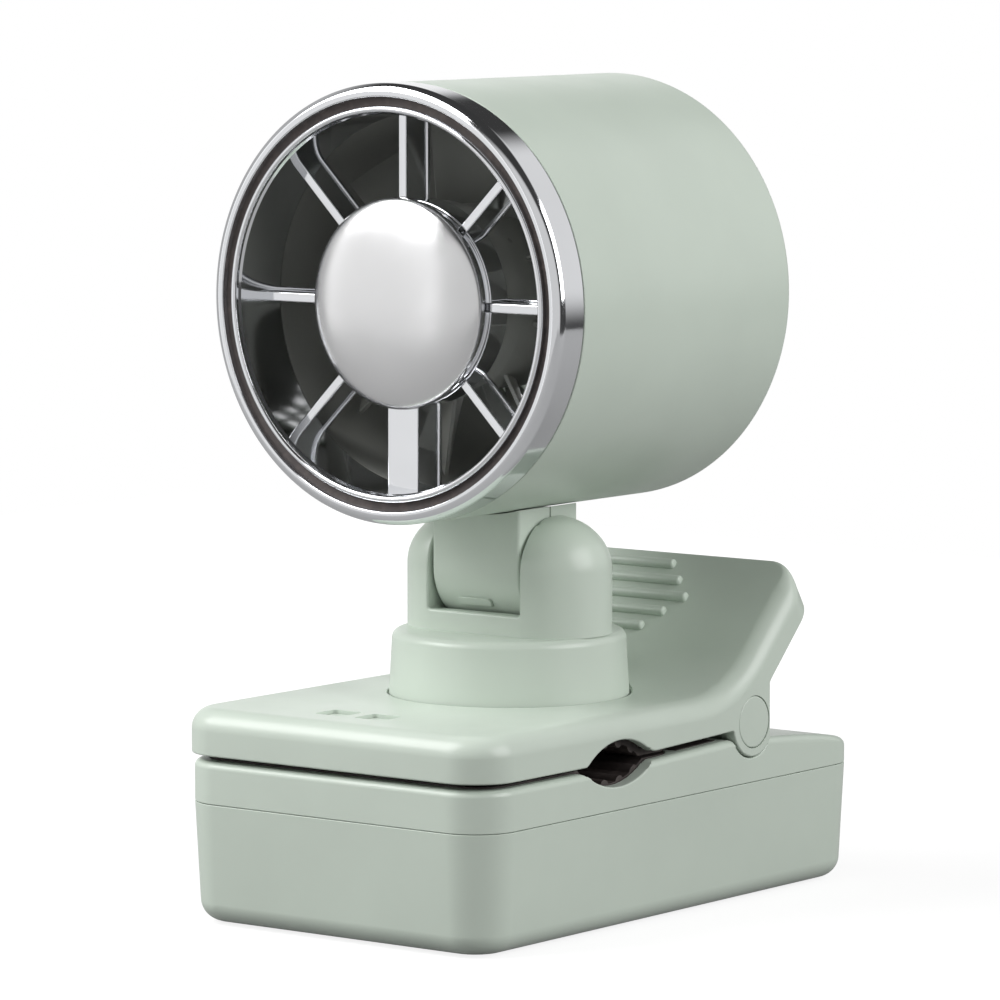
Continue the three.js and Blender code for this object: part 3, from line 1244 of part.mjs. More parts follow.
function hubDome() {
  const rim = BARREL_FRONT_Y - GAP;
  const outer = [];
  const inner = [];
  for (let i = 0; i <= 7; i++) {
    const u = i / 7;
    const r = DOME_R * Math.sin((u * Math.PI) / 2);
    const rise = DOME_BULGE * Math.cos((u * Math.PI) / 2) ** 0.9;
    outer.push(point(r, rim - rise));
    inner.push(point(r * (1 - DOME_WALL / DOME_R), rim - rise * (1 - DOME_WALL / DOME_BULGE)));
  }
  outer[0].x = 0;
  inner[0].x = 0;
  const spigot = BARREL_R - BARREL_WALL - GAP;
  const foot = profileOf([
    [DOME_R, rim + 0.05],
    [spigot, rim + 0.05],
    [spigot, WEB_Y - GAP],
    [spigot - DOME_WALL, WEB_Y - GAP],
    [spigot - DOME_WALL, rim - DOME_WALL * 0.75],
  ]);
  const inside = inner.filter((p) => p.x < spigot - DOME_WALL).reverse();
  return turnedY([...outer, ...foot, ...inside], FINE);
}

function drumShell() {
  const inner = HEAD_R - DRUM_WALL;
  const profile = [
    point(inner, DRUM_FRONT_Y),
    point(HEAD_R, DRUM_FRONT_Y),
    ...arc(HEAD_R - DRUM_EDGE_R, DRUM_REAR_Y - DRUM_EDGE_R, DRUM_EDGE_R, 0, 70, 4),
    point(inner, DRUM_REAR_Y),
  ];
  const holes = [NECK_SCREW_FRONT_Y, NECK_SCREW_REAR_Y].map((y) =>
    rodZ(0, y, SCREW_R + GAP, -HEAD_R - 1, 2 * DRUM_WALL - HEAD_R),
  );
  return cut(turnedY(profile, FINE * 1.5), ...holes);
}

const DUCT_REAR_Y = DRUM_REAR_Y - REAR_SINK - REAR_THICK - GAP;

function airDuct() {
  const outer = DUCT_R + DUCT_WALL;
  let duct = turnedY(tube(DUCT_R, outer, SLEEVE_REAR_Y + GAP, DUCT_REAR_Y), FINE);
  const reach = HEAD_R - DRUM_WALL - GAP - 0.1;
  const length = DUCT_REAR_Y - SLEEVE_REAR_Y - 2 * DUCT_RIB_INSET;
  for (let i = 0; i < DUCT_RIBS; i++) {
    const half = DUCT_RIB_THICK / 2;
    const rib = extrusion(rectangle(-half, half, outer - DUCT_WALL / 2, reach), length);
    rib.rotateX(Math.PI / 2).rotateY(Math.PI / 4 + (i * 2 * Math.PI) / DUCT_RIBS);
    duct = duct.add(solid(rib.translate(0, DUCT_REAR_Y - DUCT_RIB_INSET, 0)));
  }
  return duct;
}

function rearGrille() {
  const rear = DRUM_REAR_Y - REAR_SINK;
  const outer = HEAD_R - DRUM_WALL - GAP;
  const rings = [
    tube(0, REAR_HUB_R, rear - REAR_THICK, rear),
    tube(REAR_RING_R - REAR_RIB / 2, REAR_RING_R + REAR_RIB / 2, rear - REAR_THICK, rear),
    tube(DUCT_R - REAR_RIB, outer, rear - REAR_THICK, rear),
  ];
  let grille = joined(...rings.map((ring) => turnedY(ring, FINE)));
  for (let i = 0; i < REAR_SPOKES; i++) {
    const outline = rectangle(-REAR_RIB / 2, REAR_RIB / 2, REAR_HUB_R - OVERLAP, DUCT_R - GAP);
    const bar = extrusion(outline, REAR_THICK - 2 * REAR_SPOKE_SINK);
    bar.rotateX(Math.PI / 2).rotateY((i * 2 * Math.PI) / REAR_SPOKES);
    grille = grille.add(solid(bar.translate(0, rear - REAR_SPOKE_SINK, 0)));
  }
  return grille;
}

// ---------------------------------------------------------------- motor and rotor

const MOUNT_Y = WEB_Y + WEB_THICK + GAP;

function motorMount() {
  const bore = TUBE_R - TUBE_WALL;
  const profile = profileOf([
    [bore, MOUNT_Y],
    [MOUNT_R, MOUNT_Y],
    [MOUNT_R, MOUNT_Y + MOUNT_THICK],
    [TUBE_R, MOUNT_Y + MOUNT_THICK],
    [TUBE_R, TUBE_REAR_Y],
    [bore, TUBE_REAR_Y],
  ]);
  return turnedY(profile, MEDIUM);
}

function stator() {
  const bore = TUBE_R + GAP;
  const slotInner = bore + STATOR_CORE;
  let core = turnedY(tube(bore, STATOR_R, STATOR_FRONT_Y, STATOR_FRONT_Y + STATOR_LENGTH), 36);
  for (let i = 0; i < STATOR_TEETH; i++) {
    const outline = rectangle(-STATOR_SLOT / 2, STATOR_SLOT / 2, slotInner, STATOR_R + 1);
    const slot = extrusion(outline, STATOR_LENGTH + 2);
    slot.rotateX(Math.PI / 2).rotateY((i * 2 * Math.PI) / STATOR_TEETH);
    slot.translate(0, STATOR_FRONT_Y + STATOR_LENGTH + 1, 0);
    core = core.subtract(solid(slot));
  }
  return core;
}

const bearing = () =>
  turnedY(tube(SHAFT_R + GAP, TUBE_R - TUBE_WALL - GAP, 0, BEARING_LENGTH), SMALL);

function blade(turn) {
  const tip = DUCT_R - TIP_GAP;
  const rings = [];
  for (let k = 0; k <= 3; k++) {
    const u = k / 3;
    const r = THREE.MathUtils.lerp(BLADE_ROOT_R, tip, u);
    const chord = THREE.MathUtils.lerp(BLADE_ROOT_CHORD, BLADE_TIP_CHORD, u);
    const pitch = THREE.MathUtils.lerp(BLADE_ROOT_PITCH, BLADE_TIP_PITCH, u);
    const side = (offset) =>
      [-0.5, -0.25, 0, 0.25, 0.5].map((t) => {
        const thick = offset * (Math.abs(t) === 0.5 ? 0.35 : 1);
        const along = chord * t;
        const across = BLADE_CAMBER * (1 - 4 * t * t) + thick;
        const arcLength = along * Math.cos(pitch) - across * Math.sin(pitch);
        const y = BLADE_MID_Y + along * Math.sin(pitch) + across * Math.cos(pitch);
        const a = turn + arcLength / r;
        return new THREE.Vector3(r * Math.sin(a), y, r * Math.cos(a));
      });
    rings.push([...side(BLADE_THICK / 2), ...side(-BLADE_THICK / 2).reverse()]);
  }
  return loft(rings);
}

function rotor() {
  const front = BARREL_REAR_Y + ROTOR_FRONT_GAP;
  const inner = ROTOR_HUB_R - ROTOR_HUB_WALL;
  const boss = SHAFT_R + GAP;
  const ceiling = ROTOR_REAR_Y - ROTOR_HUB_WALL;
  const profile = profileOf([
    [boss, TUBE_REAR_Y + ROTOR_BOSS_GAP],
    [boss + ROTOR_BOSS_WALL, TUBE_REAR_Y + ROTOR_BOSS_GAP],
    [boss + ROTOR_BOSS_WALL, ceiling],
    [inner, ceiling],
    [inner, front],
    [ROTOR_HUB_R, front],
    [ROTOR_HUB_R, ROTOR_REAR_Y - ROTOR_EDGE],
    [ROTOR_HUB_R - ROTOR_EDGE, ROTOR_REAR_Y],
    [boss, ROTOR_REAR_Y],
  ]);
  let body = turnedY(profile, FINE);
  const hollow = turnedY(tube(0, inner, front - BLADE_TIP_CHORD, ceiling), FINE);
  for (let i = 0; i < BLADE_COUNT; i++)
    body = body.add(blade((i * 2 * Math.PI) / BLADE_COUNT).subtract(hollow));
  return body;
}

function head() {
  const group = new THREE.Group();
  const neckFront = neckHalf(-NECK_R - 1, NECK_SEAM_Y - GAP / 2).add(neckBar());
  const neckRear = neckHalf(NECK_SEAM_Y + GAP / 2, NECK_REAR_Y + 1);
  const bush = cut(
    rodX(0, 0, AXLE_R + GAP + BUSH_WALL, -NECK_HALF_X, NECK_HALF_X, MEDIUM),
    rodX(0, 0, AXLE_R + GAP, -NECK_HALF_X - 1, NECK_HALF_X + 1, MEDIUM),
  );
  group.add(
    piece("neck_front", neckFront, SAGE),
    piece("neck_rear", neckRear, SAGE),
    piece("tilt_bush", bush, NYLON),
  );
  group.position.z = TILT_Z;

  const drum = new THREE.Group();
  drum.position.z = HEAD_DROP + HEAD_R;
  drum.add(
    piece("drum_shell", drumShell(), SAGE),
    piece("front_grille", frontGrille(), CHROME),
    piece("hub_dome", hubDome(), SATIN),
    piece("air_duct", airDuct(), SAGE_DARK),
    piece("rear_grille", rearGrille(), SAGE),
    piece("motor_mount", motorMount(), STEEL),
    piece("stator", stator(), COPPER),
    placed(piece("bearing_front", bearing(), STEEL), 0, MOUNT_Y + BEARING_INSET, 0),
    placed(piece("bearing_rear", bearing(), STEEL), 0, TUBE_REAR_Y - BEARING_LENGTH - BEARING_INSET, 0),
  );
  [["front", NECK_SCREW_FRONT_Y], ["rear", NECK_SCREW_REAR_Y]].forEach(([name, y]) => {
    const fastener = piece(`neck_screw_${name}`, screw(NECK_SCREW_LENGTH).rotate([180, 0, 0]), STEEL);
    drum.add(placed(fastener, 0, y, -HEAD_R + DRUM_WALL + GAP));
  });
  group.add(drum);
  return group;
}

function spinner() {
  const group = new THREE.Group();
  group.position.z = HEAD_Z;
  const magnetFront = STATOR_FRONT_Y - MAGNET_REACH;
  const magnetRear = STATOR_FRONT_Y + STATOR_LENGTH + MAGNET_REACH;
  const magnet = tube(MAGNET_OUTER_R - MAGNET_WALL, MAGNET_OUTER_R, magnetFront, magnetRear);
  group.add(
    piece("rotor", rotor(), SAGE),
    piece("motor_shaft", rodY(0, 0, SHAFT_R, MOUNT_Y, ROTOR_REAR_Y - 0.2), STEEL),
    piece("magnet_ring", turnedY(magnet, FINE), MAGNET),
  );
  return group;
}

// ---------------------------------------------------------------- assembly

const clipFan = new THREE.Group();
clipFan.name = "clip_fan";
clipFan.add(base(), jaw(), powerButton(), pan(), head(), spinner());

export default clipFan;
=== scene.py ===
"""Looks of a small clip fan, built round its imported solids.

The fan stands on the XY plane and blows towards -Y. Sizes are in millimetres in the classes and
become metres when a piece is made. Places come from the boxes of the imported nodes.
"""
import json
import logging
import math
from collections.abc import Callable, Iterable, Sequence
from dataclasses import dataclass, field
from enum import Enum
from functools import partial

import bmesh
import bpy
from mathutils import Matrix, Vector


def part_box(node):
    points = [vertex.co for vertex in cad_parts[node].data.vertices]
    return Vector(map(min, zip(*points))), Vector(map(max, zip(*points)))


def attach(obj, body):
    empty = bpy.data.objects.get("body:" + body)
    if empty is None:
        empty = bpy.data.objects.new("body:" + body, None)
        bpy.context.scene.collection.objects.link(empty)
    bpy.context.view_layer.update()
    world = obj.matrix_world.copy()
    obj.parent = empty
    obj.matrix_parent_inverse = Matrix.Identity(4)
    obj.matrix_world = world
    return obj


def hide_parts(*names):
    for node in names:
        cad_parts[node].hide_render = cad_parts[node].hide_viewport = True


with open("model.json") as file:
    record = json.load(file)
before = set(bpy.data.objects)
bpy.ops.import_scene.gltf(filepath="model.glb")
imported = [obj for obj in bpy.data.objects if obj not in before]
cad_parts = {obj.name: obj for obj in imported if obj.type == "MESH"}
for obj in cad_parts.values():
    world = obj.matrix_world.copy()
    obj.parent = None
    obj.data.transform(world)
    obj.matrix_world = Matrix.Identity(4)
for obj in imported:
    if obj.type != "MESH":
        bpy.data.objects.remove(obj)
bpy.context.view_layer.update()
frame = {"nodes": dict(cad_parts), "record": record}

LOG = logging.getLogger("clip_fan")
MM = 0.001
GAP = 0.3
PAD_PROUD = 0.35
PAD_THICK = 1.5
PAD_RIBS = 5
RIB_PROUD = 0.9
HINGE_Y = 31.8
EAR_X = 33.5
HEAD_RISE = 1.1
SLEEVE_INSET = 6.35
HALF = math.sqrt(0.5)
SLOPE = Vector((HALF, HALF))
ORIGIN = Vector()
SMOOTH = {"interpolation_type": "SMOOTHSTEP"}

Point2 = tuple[float, float]
Point3 = tuple[float, float, float]
Outline = list[Point2]
Colour = tuple[float, float, float]
Fed = bpy.types.NodeSocket | float | int | bool | str | Sequence[float]


# ------------------------------------------------------------------ outlines


def arc(cx: float, cy: float, r: float, start: float, end: float, steps: int = 12) -> Outline:
    """Points along an arc.

    Args:
        cx: centre, first coordinate.
        cy: centre, second coordinate.
        r: radius.
        start: first angle in degrees.
        end: last angle in degrees.
        steps: number of chords.

    Returns:
        The points from the first angle to the last.
    """
    angles = [math.radians(start + (end - start) * i / steps) for i in range(steps + 1)]
    return [(cx + r * math.cos(a), cy + r * math.sin(a)) for a in angles]


def quarter(steps: int, end: float = 90.0) -> list[Point2]:
    """Sines and cosines of even steps from 0 to an end angle in degrees."""
    angles = [math.radians(end * i / steps) for i in range(steps + 1)]
    return [(math.sin(a), math.cos(a)) for a in angles]


def circle(cx: float, cy: float, r: float, steps: int = 64) -> Outline:
    """A closed circle as an outline."""
    return arc(cx, cy, r, 0, 360, steps)[:-1]


def rounded(corners: Sequence[tuple[float, float, float]], steps: int = 8) -> Outline:
    """A polygon whose corners are rounded.

    Args:
        corners: each corner as (first, second, radius).
        steps: chords in each rounded corner.

    Returns:
        The closed outline.
    """
    points: Outline = []
    for i, (x, y, r) in enumerate(corners):
        here = Vector((x, y))
        if r <= 0:
            points.append((x, y))
            continue
        back = (Vector(corners[i - 1][:2]) - here).normalized()
        ahead = (Vector(corners[(i + 1) % len(corners)][:2]) - here).normalized()
        half = back.angle(ahead) / 2
        centre = here + (back + ahead).normalized() * (r / math.sin(half))
        first = here + back * (r / math.tan(half)) - centre
        last = here + ahead * (r / math.tan(half)) - centre
        turn = math.atan2(first.x * last.y - first.y * last.x, first.dot(last))
        for k in range(steps + 1):
            p = centre + Matrix.Rotation(turn * k / steps, 2) @ first
            points.append((p.x, p.y))
    return points


def rectangle(x0: float, x1: float, y0: float, y1: float, r: float = 0.0, steps: int = 8) -> Outline:
    """A rectangle with equal corner radii."""
    return rounded([(x0, y0, r), (x1, y0, r), (x1, y1, r), (x0, y1, r)], steps)


def clamp(value: float) -> float:
    """A value held between 0 and 1."""
    return min(1.0, max(0.0, value))


# ------------------------------------------------------------------ solids


class Axis(Enum):
    """The axis that an outline is drawn out along or turned about."""

    X = "x"
    Y = "y"
    Z = "z"

    def lift(self, u: float, v: float, along: float) -> tuple[float, float, float]:
        """Puts outline point (u, v) into space, a distance along this axis."""
        if self is Axis.X:
            return (along, u, v)
        if self is Axis.Y:
            return (u, along, v)
        return (u, v, along)


class Join(Enum):
    """How one solid meets another."""

    CUT = "DIFFERENCE"
    ADD = "UNION"
    KEEP = "INTERSECT"


@dataclass(frozen=True)
class NodeBox:
    """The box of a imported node, in millimetres."""

    low: Vector
    high: Vector

    @classmethod
    def of(cls, node: str) -> "NodeBox":
        """Reads the box of a node."""
        low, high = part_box(node)
        return cls(low / MM, high / MM)

    @property
    def centre(self) -> Vector:
        """Middle of the box."""
        return (self.low + self.high) / 2

    @property
    def size(self) -> Vector:
        """Edge lengths of the box."""
        return self.high - self.low

    def plan(self, grow: float, r: float, steps: int = 8) -> Outline:
        """The box seen from above, grown by a clearance, with rounded corners."""
        low, high = self.low, self.high
        return rectangle(low.x - grow, high.x + grow, low.y - grow, high.y + grow, r, steps)


def box_of(node: str) -> NodeBox:
    """A dataclass field that holds the box of a node."""
    return field(default_factory=partial(NodeBox.of, node))


def evaluated(obj: bpy.types.Object) -> bpy.types.Mesh:
    """The mesh of an object with its modifiers run, as a new mesh."""
    graph = bpy.context.evaluated_depsgraph_get()
    graph.update()
    return bpy.data.meshes.new_from_object(obj.evaluated_get(graph), depsgraph=graph)


def discard(obj: bpy.types.Object) -> None:
    """Removes a helper object and its mesh."""
    mesh = obj.data
    bpy.data.objects.remove(obj)
    if mesh and not mesh.users:
        bpy.data.meshes.remove(mesh)


def linked(name: str, data: bpy.types.ID) -> bpy.types.Object:
    """A new object in the scene around a mesh, a lamp or a camera."""
    obj = bpy.data.objects.new(name, data)
    bpy.context.scene.collection.objects.link(obj)
    return obj


@dataclass
class Solid:
    """A closed mesh in millimetres that can be cut, joined and rounded."""

    mesh: bpy.types.Mesh

    @classmethod
    def from_faces(cls, points: list, faces: list) -> "Solid":
        """A solid from its points and faces, turned to face outwards."""
        mesh = bpy.data.meshes.new("solid")
        mesh.from_pydata(points, [], faces)
        work = bmesh.new()
        work.from_mesh(mesh)
        bmesh.ops.remove_doubles(work, verts=work.verts, dist=1e-5)
        bmesh.ops.recalc_face_normals(work, faces=work.faces)
        work.to_mesh(mesh)
        work.free()
        return cls(mesh)

    @classmethod
    def drawn(cls, outline: Outline, axis: Axis, low: float, high: float) -> "Solid":
        """Draws an outline out along an axis.

        Args:
            outline: closed outline in the two other axes, in their order.
            axis: the axis it is drawn along.
            low: where it starts.
            high: where it ends.

        Returns:
            The prism.
        """
        n = len(outline)
        points = [axis.lift(u, v, at) for at in (low, high) for u, v in outline]
        sides = [(i, (i + 1) % n, n + (i + 1) % n, n + i) for i in range(n)]
        return cls.from_faces(points, [tuple(range(n)), tuple(range(2 * n - 1, n - 1, -1)), *sides])

    @classmethod
    def turned(cls, profile: Outline, axis: Axis, centre: Vector, steps: int = 96) -> "Solid":
        """Turns a closed profile of (radius, along) about an axis through a centre.

        Args:
            profile: points of (radius, distance along the axis); radius 0 closes on the axis.
            axis: the axis it is turned about.
            centre: a point on the axis; the distance along it is counted from 0.
            steps: number of segments.

        Returns:
            The solid of revolution.
        """
        points = []
        for k in range(steps):
            a = 2 * math.pi * k / steps
            for r, along in profile:
                spot = Vector(axis.lift(r * math.cos(a), r * math.sin(a), along))
                offset = Vector(centre)
                offset["xyz".index(axis.value)] = 0
                points.append(spot + offset)
        n = len(profile)
        faces = []
        for k in range(steps):
            after = (k + 1) % steps
            for i in range(n):
                j = (i + 1) % n
                if profile[i][0] < 1e-6 and profile[j][0] < 1e-6:
                    continue
                faces.append((k * n + i, k * n + j, after * n + j, after * n + i))
        return cls.from_faces(points, faces)

    @classmethod
    def lofted(cls, rings: list[list[Vector]]) -> "Solid":
        """A skin over rings of equal length, closed by a face at each end."""
        n = len(rings[0])
        faces = [tuple(range(n)), tuple((len(rings) - 1) * n + i for i in reversed(range(n)))]
        for k in range(len(rings) - 1):
            for i in range(n):
                j = (i + 1) % n
                faces.append((k * n + i, k * n + j, (k + 1) * n + j, (k + 1) * n + i))
        return cls.from_faces([tuple(p) for ring in rings for p in ring], faces)

    @classmethod
    def skinned(cls, rows: list[list[Vector]]) -> "Solid":
        """A closed skin, the same on both sides of x = 0.

        Args:
            rows: stations from front to rear, each a row of points up the right side.

        Returns:
            The skin over the rows and their mirrored twins.
        """
        tall, n = len(rows[0]), len(rows)
        points = [tuple(p) for row in rows for p in row]
        points += [(-p.x, p.y, p.z) for row in rows for p in row]
        right = [[j * tall + k for k in range(tall)] for j in range(n)]
        left = [[(n + j) * tall + k for k in range(tall)] for j in range(n)]
        faces = []
        for j in range(n - 1):
            loop = [*right[j], *reversed(left[j])]
            after = [*right[j + 1], *reversed(left[j + 1])]
            for k in range(len(loop)):
                m = (k + 1) % len(loop)
                faces.append((loop[k], loop[m], after[m], after[k]))
        for j in (0, n - 1):
            for k in range(tall - 1):
                faces.append((right[j][k], right[j][k + 1], left[j][k + 1], left[j][k]))
        return cls.from_faces(points, faces)

    def with_modifiers(self, add: Callable[[bpy.types.Object], None]) -> "Solid":
        """This solid after modifiers that a function puts on a helper object."""
        obj = linked("helper", self.mesh.copy())
        add(obj)
        made = evaluated(obj)
        discard(obj)
        return Solid(made)

    def met(self, join: Join, *tools: "Solid") -> "Solid":
        """This solid after meeting each tool in turn."""
        result = self
        for tool in tools:
            other = linked("tool", tool.mesh.copy())

            def add(obj: bpy.types.Object) -> None:
                """Adds the boolean."""
                modifier = obj.modifiers.new("meet", "BOOLEAN")
                modifier.operation = join.value
                modifier.solver = "EXACT"
                modifier.object = other

            result = result.with_modifiers(add)
            discard(other)
        return result

    def cut(self, *tools: "Solid") -> "Solid":
        """This solid less the tools."""
        return self.met(Join.CUT, *tools)

    def joined(self, *others: "Solid") -> "Solid":
        """This solid together with others that it overlaps."""
        return self.met(Join.ADD, *others)

    def within(self, other: "Solid") -> "Solid":
        """What this solid shares with another."""
        return self.met(Join.KEEP, other)

    def beside(self, *others: "Solid") -> "Solid":
        """This solid and others in one mesh, without any cutting."""
        work = bmesh.new()
        for solid in (self, *others):
            work.from_mesh(solid.mesh)
        mesh = bpy.data.meshes.new("solid")
        work.to_mesh(mesh)
        work.free()
        return Solid(mesh)

    def moved(self, matrix: Matrix) -> "Solid":
        """A copy moved by a matrix."""
        mesh = self.mesh.copy()
        mesh.transform(matrix)
        return Solid(mesh)

    def rounded(self, radius_of: Callable[[Vector, Vector, Vector], float], steps: int = 5) -> "Solid":
        """Rounds sharp edges.

        Args:
            radius_of: gives the radius of an edge from its middle and the normals of its two
                faces; 0 leaves the edge sharp.
            steps: segments across each rounding.

        Returns:
            The rounded solid.
        """
        mesh = self.mesh.copy()
        work = bmesh.new()
        work.from_mesh(mesh)
        bmesh.ops.remove_doubles(work, verts=work.verts, dist=1e-3)
        bmesh.ops.dissolve_degenerate(work, edges=work.edges, dist=1e-3)
        bmesh.ops.dissolve_limit(
            work, angle_limit=math.radians(0.4), verts=work.verts, edges=work.edges
        )
        work.edges.ensure_lookup_table()
        radii = []
        for edge in work.edges:
            radius = 0.0
            if len(edge.link_faces) == 2 and edge.calc_face_angle(0) > math.radians(24):
                middle = (edge.verts[0].co + edge.verts[1].co) / 2
                radius = radius_of(middle, *(face.normal for face in edge.link_faces))
            radii.append(radius)
        widest = max(radii, default=0)
        if not widest:
            return self
        layer = work.edges.layers.float.new("bevel_weight_edge")
        for edge, radius in zip(work.edges, radii):
            edge[layer] = radius / widest
        work.to_mesh(mesh)
        work.free()

        def add(obj: bpy.types.Object) -> None:
            """Adds the bevel."""
            modifier = obj.modifiers.new("round", "BEVEL")
            modifier.limit_method = "WEIGHT"
            modifier.width = widest
            modifier.segments = steps
            modifier.use_clamp_overlap = False
            modifier.miter_outer = "MITER_ARC"

        return Solid(mesh).with_modifiers(add)


# ------------------------------------------------------------------ finishes


def feed(tree: bpy.types.NodeTree, node: bpy.types.Node, inputs: dict[str, Fed]) -> None:
    """Links or sets inputs by name, with underscores for spaces, or by number as _0, _1."""
    for key, given in inputs.items():
        socket = node.inputs[int(key[1:])] if key[0] == "_" else node.inputs[key.replace("_", " ")]
        if isinstance(given, bpy.types.NodeSocket):
            tree.links.new(given, socket)
        else:
            socket.default_value = given


def add_node(
    tree: bpy.types.NodeTree, kind: str, settings: dict | None = None, **inputs: Fed
) -> bpy.types.Node:
    """Adds a node to a tree.

    Args:
        tree: the node tree.
        kind: the node's type.
        settings: the node's own properties, by name.
        inputs: sockets or values for its inputs, as feed() takes them.

    Returns:
        The new node.
    """
    node = tree.nodes.new(kind)
    for key, setting in (settings or {}).items():
        setattr(node, key, setting)
    feed(tree, node, inputs)
    return node


class Shader:
    """A material with one Principled BSDF, and short calls for the nodes that the finishes share."""

    def __init__(self, name: str, **constants: Fed) -> None:
        """Starts a material and sets constants on the shader's own inputs."""
        self.material = bpy.data.materials.new(name)
        self.material.use_nodes = True
        self.tree = self.material.node_tree
        self.bsdf = self.tree.nodes["Principled BSDF"]
        self.place = self.node("ShaderNodeTexCoord").outputs["Object"]
        self.feed(**constants)

    def node(self, kind: str, settings: dict | None = None, **inputs: Fed) -> bpy.types.Node:
        """Adds a node."""
        return add_node(self.tree, kind, settings, **inputs)

    def feed(self, **inputs: Fed) -> None:
        """Links or sets inputs of the shader."""
        feed(self.tree, self.bsdf, inputs)

    def noise(
        self, scale: float, detail: float = 3.0, place: bpy.types.NodeSocket | None = None
    ) -> bpy.types.NodeSocket:
        """A noise value on object coordinates, with its scale per metre."""
        noise = self.node("ShaderNodeTexNoise", Scale=scale, Detail=detail, Vector=place or self.place)
        return noise.outputs["Fac"]

    def ramp(
        self, value: bpy.types.NodeSocket, first: tuple[float, Colour], last: tuple[float, Colour]
    ) -> bpy.types.NodeSocket:
        """Maps a value to colours between two stops, each a place and a colour."""
        node = self.node("ShaderNodeValToRGB", Fac=value)
        for element, (at, colour) in zip(node.color_ramp.elements, (first, last)):
            element.position = at
            element.color = (*colour, 1.0)
        return node.outputs["Color"]

    def span(self, value: bpy.types.NodeSocket, low: float, high: float) -> bpy.types.NodeSocket:
        """Maps the middle of a noise value to a range."""
        node = self.node(
            "ShaderNodeMapRange", From_Min=0.3, From_Max=0.7, To_Min=low, To_Max=high, Value=value
        )
        return node.outputs["Result"]

    def bump(self, height: bpy.types.NodeSocket, distance: float) -> None:
        """Adds a relief, with its depth in metres, under what is there already."""
        node = self.node("ShaderNodeBump", Distance=distance, Strength=1.0, Height=height)
        normal = self.bsdf.inputs["Normal"]
        if normal.is_linked:
            self.tree.links.new(normal.links[0].from_socket, node.inputs["Normal"])
        self.feed(Normal=node.outputs["Normal"])


@dataclass(frozen=True)
class Plastic:
    """Moulded plastic: a fine grain, faint flow clouds and uneven gloss."""

    name: str
    colour: Colour
    gloss: float = 0.36
    clouds: float = 0.03
    grain: float = 4e-6

    def build(self) -> bpy.types.Material:
        """Makes the material."""
        shader = Shader(self.name, Specular_IOR_Level=0.5)
        clouds = shader.noise(32.0, 4.0)
        light = tuple(min(1.0, c * (1 + self.clouds)) for c in self.colour)
        dark = tuple(c * (1 - self.clouds) for c in self.colour)
        smears = shader.span(shader.noise(90.0, 5.0), self.gloss - 0.03, self.gloss + 0.04)
        shader.feed(Base_Color=shader.ramp(clouds, (0.3, dark), (0.7, light)), Roughness=smears)
        shader.bump(shader.noise(2600.0, 2.0), self.grain)
        return shader.material


@dataclass(frozen=True)
class Metal:
    """Plated or bare metal: small waves, uneven polish and, where brushed, fine lines."""

    name: str
    colour: Colour
    roughness: float
    spread: float = 0.02
    waves: float = 6e-6
    lines: tuple[float, float, float] | None = None
    line_depth: float = 2e-6

    def build(self) -> bpy.types.Material:
        """Makes the material."""
        shader = Shader(self.name, Metallic=1.0)
        dark = tuple(c * 0.95 for c in self.colour)
        tint = shader.ramp(shader.noise(45.0, 4.0), (0.3, dark), (0.7, self.colour))
        low = max(0.01, self.roughness - self.spread)
        polish = shader.span(shader.noise(120.0, 5.0), low, self.roughness + self.spread)
        shader.feed(Base_Color=tint, Roughness=polish)
        shader.bump(shader.noise(70.0, 2.0), self.waves)
        if self.lines:
            stretched = shader.node("ShaderNodeMapping", Scale=self.lines, Vector=shader.place)
            shader.bump(shader.noise(1.0, 2.0, stretched.outputs["Vector"]), self.line_depth)
        return shader.material


@dataclass(frozen=True)
class Rubber:
    """Soft black-brown rubber with a dull, dusty surface."""

    name: str
    colour: Colour
    dust: Colour

    def build(self) -> bpy.types.Material:
        """Makes the material."""
        shader = Shader(self.name)
        dust = shader.ramp(shader.noise(420.0, 6.0), (0.45, self.colour), (0.85, self.dust))
        shader.feed(Base_Color=dust, Roughness=shader.span(shader.noise(150.0), 0.5, 0.72))
        shader.bump(shader.noise(1800.0, 3.0), 1.5e-5)
        return shader.material


@dataclass(frozen=True)
class Coils:
    """Enamelled copper wire in even turns."""

    name: str
    colour: Colour

    def build(self) -> bpy.types.Material:
        """Makes the material."""
        shader = Shader(self.name, Metallic=0.8, Roughness=0.35)
        wave = shader.node("ShaderNodeTexWave", {"bands_direction": "Y"}, Scale=900.0, Vector=shader.place)
        dark = tuple(c * 0.55 for c in self.colour)
        shader.feed(Base_Color=shader.ramp(wave.outputs["Fac"], (0.2, dark), (0.8, self.colour)))
        shader.bump(wave.outputs["Fac"], 5e-5)
        return shader.material


@dataclass(frozen=True)
class Board:
    """A circuit board: solder mask with faint traces."""

    name: str
    colour: Colour
    trace: Colour

    def build(self) -> bpy.types.Material:
        """Makes the material."""
        shader = Shader(self.name, Roughness=0.4)
        brick = shader.node(
            "ShaderNodeTexBrick",
            Scale=260.0,
            Color1=(*self.colour, 1),
            Color2=(*(c * 0.85 for c in self.colour), 1),
            Mortar=(*self.trace, 1),
            Mortar_Size=0.04,
            Vector=shader.place,
        )
        shader.feed(Base_Color=brick.outputs["Color"])
        shader.bump(brick.outputs["Fac"], 3e-5)
        return shader.material


